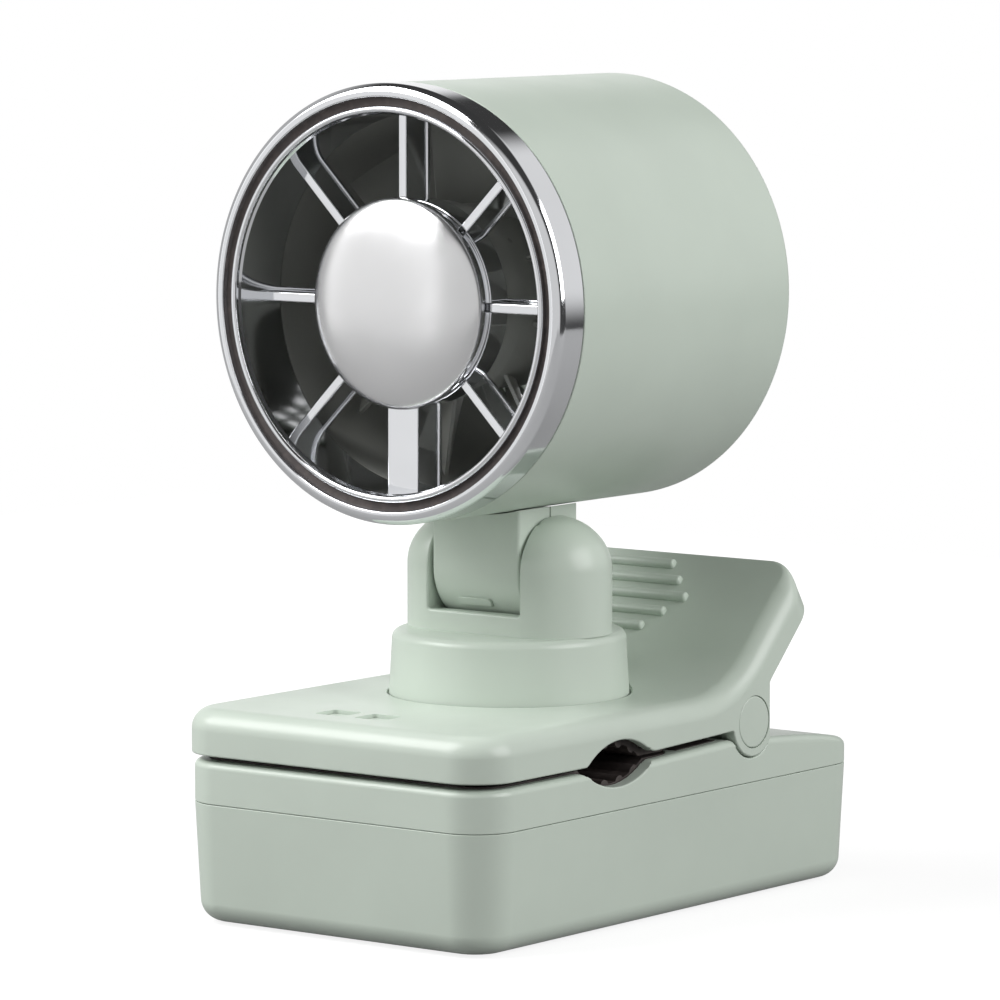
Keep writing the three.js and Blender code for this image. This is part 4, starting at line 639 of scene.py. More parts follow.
class Finishes:
    """Every finish of the fan, made once, with the record's slot for each."""

    def __init__(self) -> None:
        """Builds the materials."""
        recipes = {
            "sage_plastic": Plastic("SagePlastic", (0.575, 0.648, 0.572), gloss=0.32),
            # Blades, hub, collar and duct get dark greys far below the sage shell: their darkness is painted
            # shade of the drum's inside.
            "blade_plastic": Plastic("BladePlastic", (0.33, 0.34, 0.315), gloss=0.3),
            "inner_plastic": Plastic("InnerPlastic", (0.27, 0.275, 0.255), gloss=0.45),
            "rubber": Rubber("PadRubber", (0.042, 0.033, 0.031), (0.085, 0.066, 0.06)),
            "chrome": Metal("BrightChrome", (0.76, 0.77, 0.79), 0.09, 0.03),
            "satin_aluminium": Metal("SatinAluminium", (0.74, 0.74, 0.745), 0.24, 0.03),
            "steel": Metal("PlainSteel", (0.52, 0.53, 0.54), 0.3, 0.08, lines=(300.0, 300.0, 2600.0)),
            "copper": Coils("CopperCoils", (0.60, 0.22, 0.08)),
            "board": Board("BoardGreen", (0.015, 0.10, 0.045), (0.05, 0.20, 0.09)),
            "cell_wrap": Plastic("CellWrap", (0.05, 0.16, 0.38), gloss=0.3, clouds=0.06),
            "nylon": Plastic("Nylon", (0.80, 0.79, 0.74), gloss=0.5),
            "lens": Plastic("Lens", (0.70, 0.76, 0.69), gloss=0.16, grain=1e-6),
            "magnet": Metal("Magnet", (0.06, 0.06, 0.065), 0.55, 0.1),
        }
        self.made = {slot: recipe.build() for slot, recipe in recipes.items()}

    def dress(self, obj: bpy.types.Object, slot: str) -> None:
        """Gives an object the finish of a slot."""
        obj.data.materials.clear()
        obj.data.materials.append(self.made[slot])


# ------------------------------------------------------------------ repeats by Geometry Nodes


class Tree:
    """A Geometry Nodes tree built in code, with named inputs."""

    def __init__(self, name: str) -> None:
        """Starts a tree that takes and gives geometry."""
        self.group = bpy.data.node_groups.new(name, "GeometryNodeTree")
        self.group.interface.new_socket("Geometry", in_out="INPUT", socket_type="NodeSocketGeometry")
        self.group.interface.new_socket("Geometry", in_out="OUTPUT", socket_type="NodeSocketGeometry")
        self.start = self.group.nodes.new("NodeGroupInput")
        self.end = self.group.nodes.new("NodeGroupOutput")

    def value(self, name: str, kind: str) -> bpy.types.NodeSocket:
        """Adds a named input and returns its socket inside the tree."""
        self.group.interface.new_socket(name, in_out="INPUT", socket_type="NodeSocket" + kind)
        return self.start.outputs[name]

    def node(self, kind: str, settings: dict | None = None, **inputs: Fed) -> bpy.types.NodeSocket:
        """Adds a node and returns its first output."""
        return add_node(self.group, kind, settings, **inputs).outputs[0]

    def math(self, operation: str, one: Fed, two: Fed = 0.0) -> bpy.types.NodeSocket:
        """The result of one Math node."""
        return self.node("ShaderNodeMath", {"operation": operation}, _0=one, _1=two)

    def copies(self, points: Fed, shape: Fed, axis: str, angle: Fed, **more: Fed) -> bpy.types.NodeSocket:
        """Copies of a shape on points, each turned by an angle about an axis."""
        turn = self.node("ShaderNodeCombineXYZ", **{axis: angle})
        rotation = self.node("FunctionNodeEulerToRotation", Euler=turn)
        kind = "GeometryNodeInstanceOnPoints"
        return self.node(kind, Points=points, Instance=shape, Rotation=rotation, **more)

    def on_own_points(self, axis: str, angle: Fed) -> bpy.types.NodeSocket:
        """Copies of the object of the input Shape on the points that the tree takes in."""
        shape = self.value("Shape", "Object")
        info = add_node(self.group, "GeometryNodeObjectInfo", Object=shape).outputs["Geometry"]
        points = self.node("GeometryNodeMeshToPoints", Mesh=self.start.outputs["Geometry"])
        return self.copies(points, info, axis, angle)

    def attribute(self, name: str) -> bpy.types.NodeSocket:
        """A named value of each point."""
        return self.node("GeometryNodeInputNamedAttribute", {"data_type": "FLOAT"}, Name=name)

    def finish(self, geometry: bpy.types.NodeSocket) -> "Tree":
        """Ends the tree in Realize Instances and Set Material."""
        material = self.value("Material", "Material")
        whole = self.node("GeometryNodeRealizeInstances", Geometry=geometry)
        painted = self.node("GeometryNodeSetMaterial", Geometry=whole, Material=material)
        self.group.links.new(painted, self.end.inputs[0])
        return self

    def run(self, name: str, shape: Solid, **values: object) -> bpy.types.Object:
        """Runs the tree on a shape and returns the result as a plain object, in millimetres.

        Args:
            name: name of the new object.
            shape: what the tree takes in.
            values: its other inputs, by name with underscores for spaces.

        Returns:
            The new object, with no modifier left on it.
        """
        helper = linked("repeat", shape.mesh.copy())
        modifier = helper.modifiers.new("repeat", "NODES")
        modifier.node_group = self.group
        known = {s.name: s.identifier for s in self.group.interface.items_tree if s.in_out == "INPUT"}
        for key, given in values.items():
            modifier[known[key.replace("_", " ")]] = given
        mesh = evaluated(helper)
        discard(helper)
        return linked(name, mesh)


def ring_tree() -> Tree:
    """A tree that repeats a shape about an axis along Y and can leave one copy out."""
    tree = Tree("ring_of_copies")
    count, left_out = tree.value("Count", "Int"), tree.value("Left Out", "Int")
    points = tree.node("GeometryNodePoints", Count=count, Position=tree.value("Centre", "Vector"))
    index = tree.node("GeometryNodeInputIndex")
    angle = tree.math("MULTIPLY", index, tree.math("DIVIDE", 2 * math.pi, count))
    differs = {"data_type": "INT", "operation": "NOT_EQUAL"}
    wanted = tree.node("FunctionNodeCompare", differs, _2=index, _3=left_out)
    return tree.finish(tree.copies(points, tree.start.outputs["Geometry"], "Y", angle, Selection=wanted))


def spot_tree() -> Tree:
    """A tree that puts a shape on each of its points, turned by each point's own angle about X."""
    tree = Tree("copies_on_spots")
    return tree.finish(tree.on_own_points("X", tree.attribute("pitch")))


def bead_tree() -> Tree:
    """A tree that puts a round-ended bead on each point and draws it out to the point's reach."""
    tree = Tree("grip_beads")
    copies = tree.on_own_points("X", tree.value("Pitch", "Float"))
    whole = tree.node("GeometryNodeRealizeInstances", Geometry=copies)
    spare = tree.math("SUBTRACT", tree.attribute("reach"), tree.value("Own Reach", "Float"))
    across = tree.node("ShaderNodeSeparateXYZ", Vector=tree.node("GeometryNodeInputPosition"))
    offset = tree.node("ShaderNodeCombineXYZ", X=tree.math("MULTIPLY", tree.math("SIGN", across), spare))
    return tree.finish(tree.node("GeometryNodeSetPosition", Geometry=whole, Offset=offset))


def wire_tree() -> Tree:
    """A tree that draws a round wire along the edges it takes in."""
    tree = Tree("wire_along_path")
    path = tree.node("GeometryNodeMeshToCurve", Mesh=tree.start.outputs["Geometry"])
    radius = tree.value("Radius", "Float")
    profile = tree.node("GeometryNodeCurvePrimitiveCircle", Resolution=12, Radius=radius)
    return tree.finish(
        tree.node("GeometryNodeCurveToMesh", Curve=path, Profile_Curve=profile, Fill_Caps=True)
    )


def spots(points: Iterable[Vector], **values: Sequence[float]) -> Solid:
    """A mesh of loose points with named values on them."""
    mesh = bpy.data.meshes.new("spots")
    mesh.from_pydata([tuple(p) for p in points], [], [])
    for name, given in values.items():
        layer = mesh.attributes.new(name, "FLOAT", "POINT")
        layer.data.foreach_set("value", list(given))
    return Solid(mesh)


# ------------------------------------------------------------------ the maker


class Maker:
    """Turns solids into pieces that ride on the fan's bodies."""

    def __init__(self, finishes: Finishes) -> None:
        """Keeps the finishes and makes the trees for what repeats."""
        self.finishes = finishes
        self.ring = ring_tree()
        self.on_spots = spot_tree()
        self.beads = bead_tree()
        self.wire = wire_tree()

    def add(
        self,
        name: str,
        shape: Solid | bpy.types.Object,
        body: str,
        slot: str,
        replaces: Sequence[str] = (),
        crease: float = 32.0,
    ) -> bpy.types.Object:
        """Makes a piece of the fan.

        Args:
            name: name of the piece.
            shape: its solid, or an object that a tree has made, in millimetres.
            body: the body that it rides on.
            slot: the record's slot of its finish.
            replaces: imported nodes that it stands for.
            crease: angle in degrees above which an edge stays sharp.

        Returns:
            The finished object, in metres.
        """
        obj = linked(name, shape.mesh.copy()) if isinstance(shape, Solid) else shape
        obj.data.transform(Matrix.Scale(MM, 4))
        obj.data.shade_smooth()
        obj.data.set_sharp_from_angle(angle=math.radians(crease))
        weigh = obj.modifiers.new("weigh", "WEIGHTED_NORMAL")
        weigh.keep_sharp = True
        mesh = evaluated(obj)
        obj.modifiers.clear()
        old = obj.data
        obj.data = mesh
        bpy.data.meshes.remove(old)
        obj.name = name
        obj.data.name = name
        self.finishes.dress(obj, slot)
        if replaces:
            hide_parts(*replaces)
        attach(obj, body)
        LOG.info("%s rides on %s with %d faces", name, body, len(obj.data.polygons))
        return obj

    def repeated(self, tree: Tree, name: str, shape: Solid, slot: str, **values: object) -> bpy.types.Object:
        """Runs a tree with the finish of a slot."""
        return tree.run(name, shape, Material=self.finishes.made[slot], **values)

    def placed(
        self, name: str, item: Solid, slot: str, where: Iterable[Vector], pitch: Sequence[float]
    ) -> bpy.types.Object:
        """Puts copies of an item on spots, each turned about X by its own angle."""
        source = linked("item", item.mesh.copy())
        made = self.repeated(self.on_spots, name, spots(where, pitch=pitch), slot, Shape=source)
        discard(source)
        return made

    def corner_screws(self, body: str, start: str) -> None:
        """Four upright screws in place of the nodes START_front_left and so on."""
        names = [f"{start}_{row}_{side}" for row in ("front", "rear") for side in ("left", "right")]
        boxes = [NodeBox.of(name) for name in names]
        where = [Vector((b.centre.x, b.centre.y, b.low.z + HEAD_RISE)) for b in boxes]
        item = screw(boxes[0].size.z - HEAD_RISE)
        self.add(start + "s", self.placed(start + "s", item, "steel", where, [0.0] * 4), body, "steel", names)


# ------------------------------------------------------------------ battery base


@dataclass
class Base:
    """Lower half of the clip: tub, cover, pads, socket, screws and springs."""

    corner_r: float = 10.0
    bottom_r: float = 4.3
    foot_r: float = 8.0
    pad_r: float = 6.0
    draft: float = math.radians(3)
    wall: float = 2.2
    cover_edge_r: float = 1.5
    cut_edge_r: float = 0.4
    seam_r: float = 0.16
    seam_fill: float = 0.18
    notch_r: float = 19.6
    notch_y: float = -15.5
    notch_depth: float = 3.9
    trough_r: float = 7.65
    crest: float = 0.9
    crest_run: float = 25.0
    crest_land: float = 2.0
    rear_step: float = 0.8
    spring_x: float = 18.0
    fall: float = 2.57
    droop: float = 2.83
    tub: NodeBox = box_of("lower_shell")
    cover: NodeBox = box_of("lower_cover")
    pin: NodeBox = box_of("hinge_pin")

    def ring(self, inset: float, z: float) -> list[Vector]:
        """The base's plan, drawn in by an inset, at a height."""
        return [Vector((x, y, z)) for x, y in self.tub.plan(-inset, max(self.corner_r - inset, 0.6), 14)]

    def leaning(self, z: float) -> float:
        """How far the drafted side has drawn in at a height."""
        return max(0.0, self.tub.high.z - z) * math.tan(self.draft)

    def tub_solid(self) -> Solid:
        """The tub: one skin from its recess below, round the outside and down to its floor."""
        low, high = self.tub.low.z, self.tub.high.z + self.seam_fill
        foot = NodeBox.of("base_pad")
        pad = foot.plan(GAP, self.foot_r + GAP, 14)
        rings = [[Vector((x, y, z)) for x, y in pad] for z in (foot.high.z + GAP, low)]
        for sine, cosine in quarter(12):
            z = low + self.bottom_r * (1 - cosine)
            rings.append(self.ring(self.leaning(z) + self.bottom_r * (1 - sine), z))
        for sine, cosine in quarter(4):
            z = high - self.seam_r * (1 - sine)
            rings.append(self.ring(self.leaning(z) + self.seam_r * (1 - cosine), z))
        floor = low + self.wall
        rings.append(self.ring(self.wall, high))
        rings.append(self.ring(self.wall + self.leaning(floor + 2), floor + 2))
        rings.append(self.ring(self.wall + 2 + self.leaning(floor), floor))
        return Solid.lofted(rings)

    def socket_mouth(self, grow: float, y0: float, y1: float) -> Solid:
        """A prism of the socket's outline, grown by a clearance."""
        port = NodeBox.of("usb_port")
        low, high = port.low, port.high
        r = (high.z - low.z) / 2 + grow - 0.02
        outline = rectangle(low.x - grow, high.x + grow, low.z - grow, high.z + grow, r, 10)
        return Solid.drawn(outline, Axis.Y, y0, y1)

    @property
    def flat_top(self) -> float:
        """Height of the cover's flat top."""
        return NodeBox.of("lower_pad").high.z - PAD_PROUD

    def top_at(self, y: float) -> float:
        """Height of the cover's top at a given y."""
        crest_y = HINGE_Y - self.trough_r - self.crest_land
        front_y, rear_y = HINGE_Y - self.trough_r, HINGE_Y + self.trough_r
        rise = self.crest * clamp((y - crest_y + self.crest_run) / self.crest_run)
        step = self.rear_step * clamp((y - front_y) / (rear_y - front_y))
        share = max(0.0, (y - rear_y) / (self.cover.high.y - rear_y))
        return self.flat_top + rise - step - self.fall * share - self.droop * share**4

    def plan(self) -> list[tuple[float, float, float, float]]:
        """The base's right half from front to rear: (x, y, normal x, normal y)."""
        low, high, r = self.cover.low, self.cover.high, self.corner_r
        count = 60
        x, y0, length = high.x - r, low.y + r, high.y - low.y - 2 * r
        front = [(x + r * sine, y0 - r * cosine, sine, -cosine) for sine, cosine in quarter(24)]
        side = [(high.x, y0 + length * i / count, 1.0, 0.0) for i in range(1, count)]
        rear = [(x + r * cosine, high.y - r + r * sine, cosine, sine) for sine, cosine in quarter(24)]
        return [*front, *side, *rear]

    def cover_solid(self) -> Solid:
        """The cover: a skin with a rounded top edge, with its notch and its trough cut in."""
        seam, soft, r = self.tub.high.z + GAP, self.seam_r, self.cover_edge_r
        rows = []
        for x, y, nx, ny in self.plan():
            row = []
            for sine, cosine in quarter(3):
                inset = soft * (1 - sine)
                row.append(Vector((x - nx * inset, y - ny * inset, seam + soft * (1 - cosine))))
            for sine, cosine in quarter(8):
                inset, drop = r * (1 - cosine), r * (1 - sine)
                inner = y - ny * inset
                row.append(Vector((x - nx * inset, inner, self.top_at(inner) - drop)))
            rows.append(row)
        x = self.cover.high.x + 1
        trough = Solid.drawn(circle(HINGE_Y, self.pin.centre.z, self.trough_r, 96), Axis.X, -x, x)
        cover = Solid.skinned(rows).cut(Solid.drawn(self.notch_outline(), Axis.X, -x, x), trough)
        side = self.cover.high.x - 0.01

        def radius(middle: Vector, *_: Vector) -> float:
            """A narrow edge where a cut meets the side."""
            return self.cut_edge_r if abs(middle.x) > side and middle.z > seam + 1 else 0.0

        return cover.rounded(radius, 3)

    def notch_outline(self) -> Outline:
        """The notch seen from the side: (y, z), rounded where it leaves the flat top."""
        flat = self.flat_top
        centre = flat - self.notch_depth + self.notch_r
        half = math.sqrt(self.notch_r**2 - (centre - flat) ** 2)
        swing = math.degrees(math.asin(half / self.notch_r))
        lip = [(-1.2, 0.0), (-0.55, 0.06), (0.05, 0.3), (0.6, 0.66)]
        reach, over, trim = 1.3, flat + 6, 3.2
        first, last = self.notch_y - half, self.notch_y + half
        points = [(first - reach, over)]
        points += [(first + u, flat - v) for u, v in lip]
        points += arc(self.notch_y, centre, self.notch_r, 270 - swing + trim, 270 + swing - trim, 40)
        points += [(last - u, self.top_at(last) - v) for u, v in reversed(lip)]
        points += [(last + reach, over)]
        return points

    def pad_side(self, grow: float, ribs: bool) -> Outline:
        """The lower pad seen from the side, grown by a clearance."""
        pad = NodeBox.of("lower_pad")
        y0, y1 = pad.low.y - grow, pad.high.y + grow
        top = self.flat_top + PAD_PROUD + 3 * grow
        back = self.flat_top + PAD_PROUD - PAD_THICK - grow
        centre = self.flat_top - self.notch_depth + self.notch_r
        face_r, back_r = self.notch_r - GAP - 3 * grow, self.notch_r - GAP + PAD_THICK + grow
        return pad_outline(y0, y1, self.notch_y, centre, (top, face_r), (back, back_r), -1, ribs)

    def build(self, maker: Maker) -> None:
        """Makes the pieces of the base."""
        rear = self.tub.high.y
        mouths = self.socket_mouth(GAP, rear - 8, rear + 1), self.socket_mouth(0.9, rear - 1.7, rear + 1)
        maker.add("base_tub", self.tub_solid().cut(*mouths), "lower_body", "sage_plastic", ["lower_shell"])
        self.build_cover(maker)
        foot = NodeBox.of("base_pad")
        sole = Solid.drawn(foot.plan(0, self.foot_r, 14), Axis.Z, foot.low.z, foot.high.z)
        maker.add("foot_pad", sole.rounded(lambda *_: 0.25, 3), "lower_body", "rubber", ["base_pad"])
        self.build_socket(maker)
        maker.corner_screws("lower_body", "base_screw")
        for side, s in (("left", -1), ("right", 1)):
            path = self.spring_path(s * self.spring_x)
            wire = maker.repeated(maker.wire, f"spring_{side}", path, "steel", Radius=0.5)
            maker.add(f"torsion_spring_{side}", wire, "lower_body", "steel", [f"spring_{side}"])

    def build_cover(self, maker: Maker) -> None:
        """Makes the cover and the rubber pad in its top."""
        pad, above = NodeBox.of("lower_pad"), self.flat_top + 6
        recess = Solid.drawn(self.pad_side(GAP, False), Axis.X, pad.low.x - GAP, pad.high.x + GAP)
        recess = recess.within(Solid.drawn(pad.plan(GAP, self.pad_r + GAP), Axis.Z, 0, above))
        hollow = Solid.lofted([self.ring(self.wall, z) for z in (self.cover.low.z - 1, self.flat_top - 6)])
        cover = self.cover_solid().cut(recess, hollow).joined(self.ear(-1), self.ear(1))
        maker.add("base_cover", cover, "lower_body", "sage_plastic", ["lower_cover"])
        face = Solid.drawn(self.pad_side(0, True), Axis.X, pad.low.x, pad.high.x)
        face = face.within(Solid.drawn(pad.plan(0, self.pad_r), Axis.Z, 0, above)).rounded(lambda *_: 0.15, 2)
        y0, y1 = pad.high.y + GAP, HINGE_Y - self.trough_r - self.crest_land
        corners = ((y0, -0.3), (y1, -0.3), (y1, 0.15), (y0, 0.15))
        tail = [(y, self.top_at(y) + rise) for y, rise in corners]
        face = face.beside(Solid.drawn(tail, Axis.X, pad.low.x, pad.high.x))
        maker.add("notch_pad_lower", face, "lower_body", "rubber", ["lower_pad"])

    def ear(self, side: int) -> Solid:
        """One of the two ears of the cover that hold the pin."""
        z, x, r, drop = self.pin.centre.z, side * EAR_X, 3.6, 9
        outline = [*arc(HINGE_Y, z, r, 0, 180, 16), (HINGE_Y - r, z - drop), (HINGE_Y + r, z - drop)]
        return Solid.drawn(outline, Axis.X, x - 2, x + 2)

    def build_socket(self, maker: Maker) -> None:
        """The charging socket in the rear wall: a rolled shell round a tongue."""
        port = NodeBox.of("usb_port")
        shell = self.socket_mouth(0, port.low.y, port.high.y)
        shell = shell.cut(self.socket_mouth(-0.4, port.low.y + 1, port.high.y + 1))
        z, rear = port.centre.z, port.high.y
        plate = rectangle(-3.2, 3.2, z - 0.35, z + 0.35, 0.2, 3)
        tongue = Solid.drawn(plate, Axis.Y, port.low.y + 0.9, rear - 1.2)
        half, high = 0.12, 0.39
        contacts = [
            Solid.drawn(rectangle(x - half, x + half, z - high, z + high), Axis.Y, rear - 4.2, rear - 1.6)
            for x in (-2.5 + 0.5 * i for i in range(11))
        ]
        whole = shell.beside(tongue, *contacts)
        maker.add("charging_socket", whole, "lower_body", "steel", ["usb_port"])

    def spring_path(self, x: float) -> Solid:
        """The line of a torsion spring round the pin: a straight leg, five turns and a leg."""
        z, r, turns, pitch = self.pin.centre.z, 3.1, 5, 1.35
        start, end = math.radians(-110), math.radians(150 - 360 * turns)
        steps = turns * 32
        points = []
        for i in range(steps + 1):
            a = start + (end - start) * i / steps
            spot = (x + pitch * turns * (i / steps - 0.5), HINGE_Y + r * math.cos(a), z + r * math.sin(a))
            points.append(Vector(spot))
        first = Vector((0, -math.sin(start), math.cos(start)))
        last = Vector((0, math.sin(end), -math.cos(end)))
        points.insert(0, points[0] + first * 5.6)
        points.append(points[-1] + last * 12)
        mesh = bpy.data.meshes.new("path")
        mesh.from_pydata([tuple(p) for p in points], [(i, i + 1) for i in range(len(points) - 1)], [])
        return Solid(mesh)


def pad_outline(
    y0: float,
    y1: float,
    notch_y: float,
    centre: float,
    face: tuple[float, float],
    back: tuple[float, float],
    bend: int,
    ribs: bool,
) -> Outline:
    """A pad's side outline: flat, with an arched stretch in the notch.

    Args:
        y0: front end.
        y1: rear end.
        notch_y: middle of the notch.
        centre: height of the arch's centre.
        face: height of the flat face and radius of its arch.
        back: the same for the flat back.
        bend: 1 where the arch rises, -1 where it dips.
        ribs: whether the arch carries ribs.

    Returns:
        The closed outline as (y, z).
    """

    def run(z: float, r: float, count: int, rib: float) -> Outline:
        """One arch from front to rear."""
        half = math.acos(min(1.0, bend * (z - centre) / r))
        points = []
        for i in range(count + 1):
            t = i / count
            a = half * (2 * t - 1)
            wave = max(0.0, math.sin(t * 2 * math.pi * PAD_RIBS)) ** 0.5 * rib
            points.append((notch_y + r * math.sin(a), centre + bend * (r - wave) * math.cos(a)))
        return points

    front = run(*face, *((140, RIB_PROUD) if ribs else (24, 0.0)))
    rear = run(*back, 24, 0.0)
    return [(y0, face[0]), *front, (y1, face[0]), (y1, back[0]), *rear[::-1], (y0, back[0])]


def screw(length: float) -> Solid:
    """A pan-head screw along +Z, its head below 0 with a hexagonal socket."""
    head = [(0, -0.55), (0.001, -1.1), (1.6, -1.1), *arc(1.7, -0.5, 0.6, -90, 0, 5), (2.3, 0)]
    thread: Outline = []
    turns = int(length / 0.5)
    for i in range(turns):
        z = 0.2 + i * 0.5
        thread += [(0.9, z), (1.1, z + 0.25)]
    body = Solid.turned([*head, *thread, (0.9, length - 0.1), (0, length)], Axis.Z, Vector(), 24)
    socket = Solid.drawn(circle(0, 0, 1.15, 6), Axis.Z, -2, -0.5)
    return body.cut(socket)


# ------------------------------------------------------------------ upper jaw and lever


@dataclass
class Jaw:
    """Upper half of the clip with the squeeze lever in one moulding."""

    corner_r: float = 10.0
    edge_r: float = 4.5
    wall: float = 2.2
    notch_r: float = 17.0
    notch_y: float = -15.5
    notch_depth: float = 4.4
    rise: float = 1.6
    turn_r: float = 28.0
    turn_y: float = 13.2
    slope_length: float = 24.5
    rear_length: float = 19.6
    back_y: float = 37.8
    back_rise: float = 1.2
    lever_corner: float = 8.6
    end_r: float = 0.9
    rim_edge_r: float = 0.4
    pad_r: float = 6.0
    well_depth: float = 0.8
    well_gap: float = 0.4
    key_inset: float = 0.8
    plate: float = 2.0
    lever_screw: float = 2.4
    lug_r: float = 7.35
    lug_thick: float = 4.0
    cap_r: float = 5.45
    cap_thick: float = 1.3
    key_depth: float = 0.75
    rib_reaches: tuple[float, ...] = (9.1, 12.7, 16.3, 12.6, 8.8)
    rib_r: float = 1.1
    rib_lift: float = 0.35
    rib_first: float = 3.6
    rib_pitch: float = 4.25
    bead_reach: float = 3.0
    box: NodeBox = box_of("upper_jaw")
    pin: NodeBox = box_of("hinge_pin")
    cover: NodeBox = box_of("lower_cover")

    @property
    def rim(self) -> float:
        """Height of the lower rim in front of the notch."""
        return NodeBox.of("upper_pad").low.z + PAD_PROUD

    @property
    def top(self) -> float:
        """Height of the flat top."""
        return self.rim + 9.5

    @property
    def heel(self) -> Vector:
        """Where the lever's rear face leaves the rear wall, as (y, z)."""
        return Vector((self.back_y, self.top + self.back_rise))

    @property
    def slope_start(self) -> Vector:
        """Where the lever's slope leaves its fillet, as (y, z)."""
        return Vector((self.turn_y + self.turn_r * HALF, self.top + self.turn_r * (1 - HALF)))

    def path(self, s: float) -> tuple[Vector, Vector]:
        """The top face's point a length s from the front, and the point under or behind it."""
        flat = self.turn_y - self.box.low.y
        bend = self.turn_r * math.pi / 4
        if s < flat:
            y = self.box.low.y + s
            return Vector((y, self.top)), Vector((y, self.rim_at(y)))
        if s < flat + bend:
            share = (s - flat) / bend
            a = math.pi / 4 * share
            r = self.turn_r
            top = Vector((self.turn_y + r * math.sin(a), self.top + r * (1 - math.cos(a))))
            if share < 0.9:
                y = self.turn_y + (self.back_y - self.turn_y) * share / 0.9
                return top, Vector((y, self.rim_at(y)))
            corner = Vector((self.back_y, self.rim_at(self.back_y)))
            return top, corner.lerp(self.heel, (share - 0.9) / 0.1)
        run = s - flat - bend
        past = max(0.0, run - self.rear_length)
        low = self.heel + SLOPE * (run - past) + Vector((0.1, 1.35)) * past
        return self.slope_start + SLOPE * run, low

    def stations(self) -> list[tuple[float, float, float, float]]:
        """Plan of the unrolled top face from front to end: (half width, length, normal x, normal s)."""
        x = self.box.high.x
        flat = self.turn_y - self.box.low.y
        bend = self.turn_r * math.pi / 4
        end = flat + bend + self.slope_length
        r, lever_r = self.corner_r, self.lever_corner
        made = [(x - r + r * sine, r - r * cosine, sine, -cosine) for sine, cosine in quarter(24)]
        lengths = [r + (flat - r) * i / 30 for i in range(1, 31)]
        shares = (*(i / 40 for i in range(1, 37)), 0.9001, 0.94, 0.97, 1.0)
        lengths += [flat + bend * share for share in shares]
        lengths += [flat + bend + (self.slope_length - lever_r) * i / 8 for i in range(1, 8)]
        made += [(x, length, 1.0, 0.0) for length in lengths]
        for sine, cosine in quarter(24):
            made.append((x - lever_r + lever_r * cosine, end - lever_r + lever_r * sine, cosine, sine))
        return made

    def skin(self) -> Solid:
        """The outside without notch and lugs, its top edge rounded all the way round."""
        rows = []
        for width, s, nx, ns in self.stations():
            top, low = self.path(s)
            depth = (low - top).length
            end = max(0.0, ns) ** 2
            r = min(self.edge_r, 0.58 * depth) * (1 - end) + self.end_r * end
            row = [Vector((width, *low)), Vector((width, *top.lerp(low, 0.85)))]
            for sine, cosine in quarter(12):
                inset, drop = r * (1 - cosine), r * (1 - sine)
                face, under = self.path(s - ns * inset)
                row.append(Vector((width - nx * inset, *(face + (under - face).normalized() * drop))))
            rows.append(row)
        return Solid.skinned(rows)

    def notch(self) -> Solid:
        """The tool that cuts the notch for a bar, with its rounded lips."""
        x = self.box.high.x + 1
        centre = self.rim + self.notch_depth - self.notch_r
        right = self.rim_at(self.notch_y + 11)
        first = math.asin((self.rim - centre) / self.notch_r)
        last = math.asin((right - centre) / self.notch_r)
        left_end = self.notch_y - self.notch_r * math.cos(first)
        right_end = self.notch_y + self.notch_r * math.cos(last)
        under, reach = self.rim - 5, 1.9
        start, end = 180 - math.degrees(first) - 2.5, math.degrees(last) + 6
        left_lip = [(-0.6, 0.0), (-0.15, 0.06), (0.25, 0.3)]
        right_lip = [(-0.75, 0.95), (-0.25, 0.52), (0.4, 0.24), (1.1, 0.1)]
        outline = [
            (left_end - 0.6, under),
            *((left_end + u, self.rim + v) for u, v in left_lip),
            *arc(self.notch_y, centre, self.notch_r, start, end, 48),
            *((right_end + u, right + v) for u, v in right_lip),
            (right_end + reach, self.rim_at(right_end + reach)),
            (right_end + reach, under),
        ]
        return Solid.drawn(outline, Axis.X, -x, x)

    def rim_at(self, y: float) -> float:
        """Height of the lower rim at a given y."""
        near, far = self.notch_y - 12, HINGE_Y - self.lug_r - GAP
        return self.rim + self.rise * clamp((y - near) / (far - near))

    def plan(self, inset: float) -> Solid:
        """A prism of the jaw's plan, rounded at the front corners."""
        x = self.box.high.x - inset
        y0 = self.box.low.y + inset
        r = self.corner_r - inset
        outline = rounded([(-x, y0, r), (x, y0, r), (x, 70, 0), (-x, 70, 0)], 20)
        return Solid.drawn(outline, Axis.Z, 0, 90)

    def lug(self, side: int, inset: float, end: float) -> Solid:
        """A lug round the pin, cut off by the rear wall.

        Args:
            side: -1 for the left one, 1 for the right one.
            inset: how much smaller than the lug its radius is.
            end: how far inside the jaw's side it ends.

        Returns:
            The lug.
        """
        r, x = self.lug_r - inset, self.box.high.x
        low = math.degrees(math.acos((self.back_y - HINGE_Y) / r))
        outline = arc(HINGE_Y, self.pin.centre.z, r, low, 360 - low, 48)
        x0, x1 = sorted((side * (x - self.lug_thick), side * (x - end)))
        return Solid.drawn(outline, Axis.X, x0, x1)

    def shell(self) -> Solid:
        """The outside, rounded, before anything is cut into it."""
        block = self.skin().joined(self.lug(-1, 0, 0), self.lug(1, 0, 0)).cut(self.notch())
        side = self.box.high.x - 0.01

        def radius(middle: Vector, one: Vector, two: Vector) -> float:
            """A narrow edge along the rim, the notch, the lugs and the rear."""
            down = min(one.z, two.z)
            if middle.z < self.top - 1 and (abs(middle.x) > side or down < -0.9):
                return self.rim_edge_r
            return self.rim_edge_r if down < -0.5 and middle.y > self.back_y - 1 else 0.0

        return block.rounded(radius, 3)

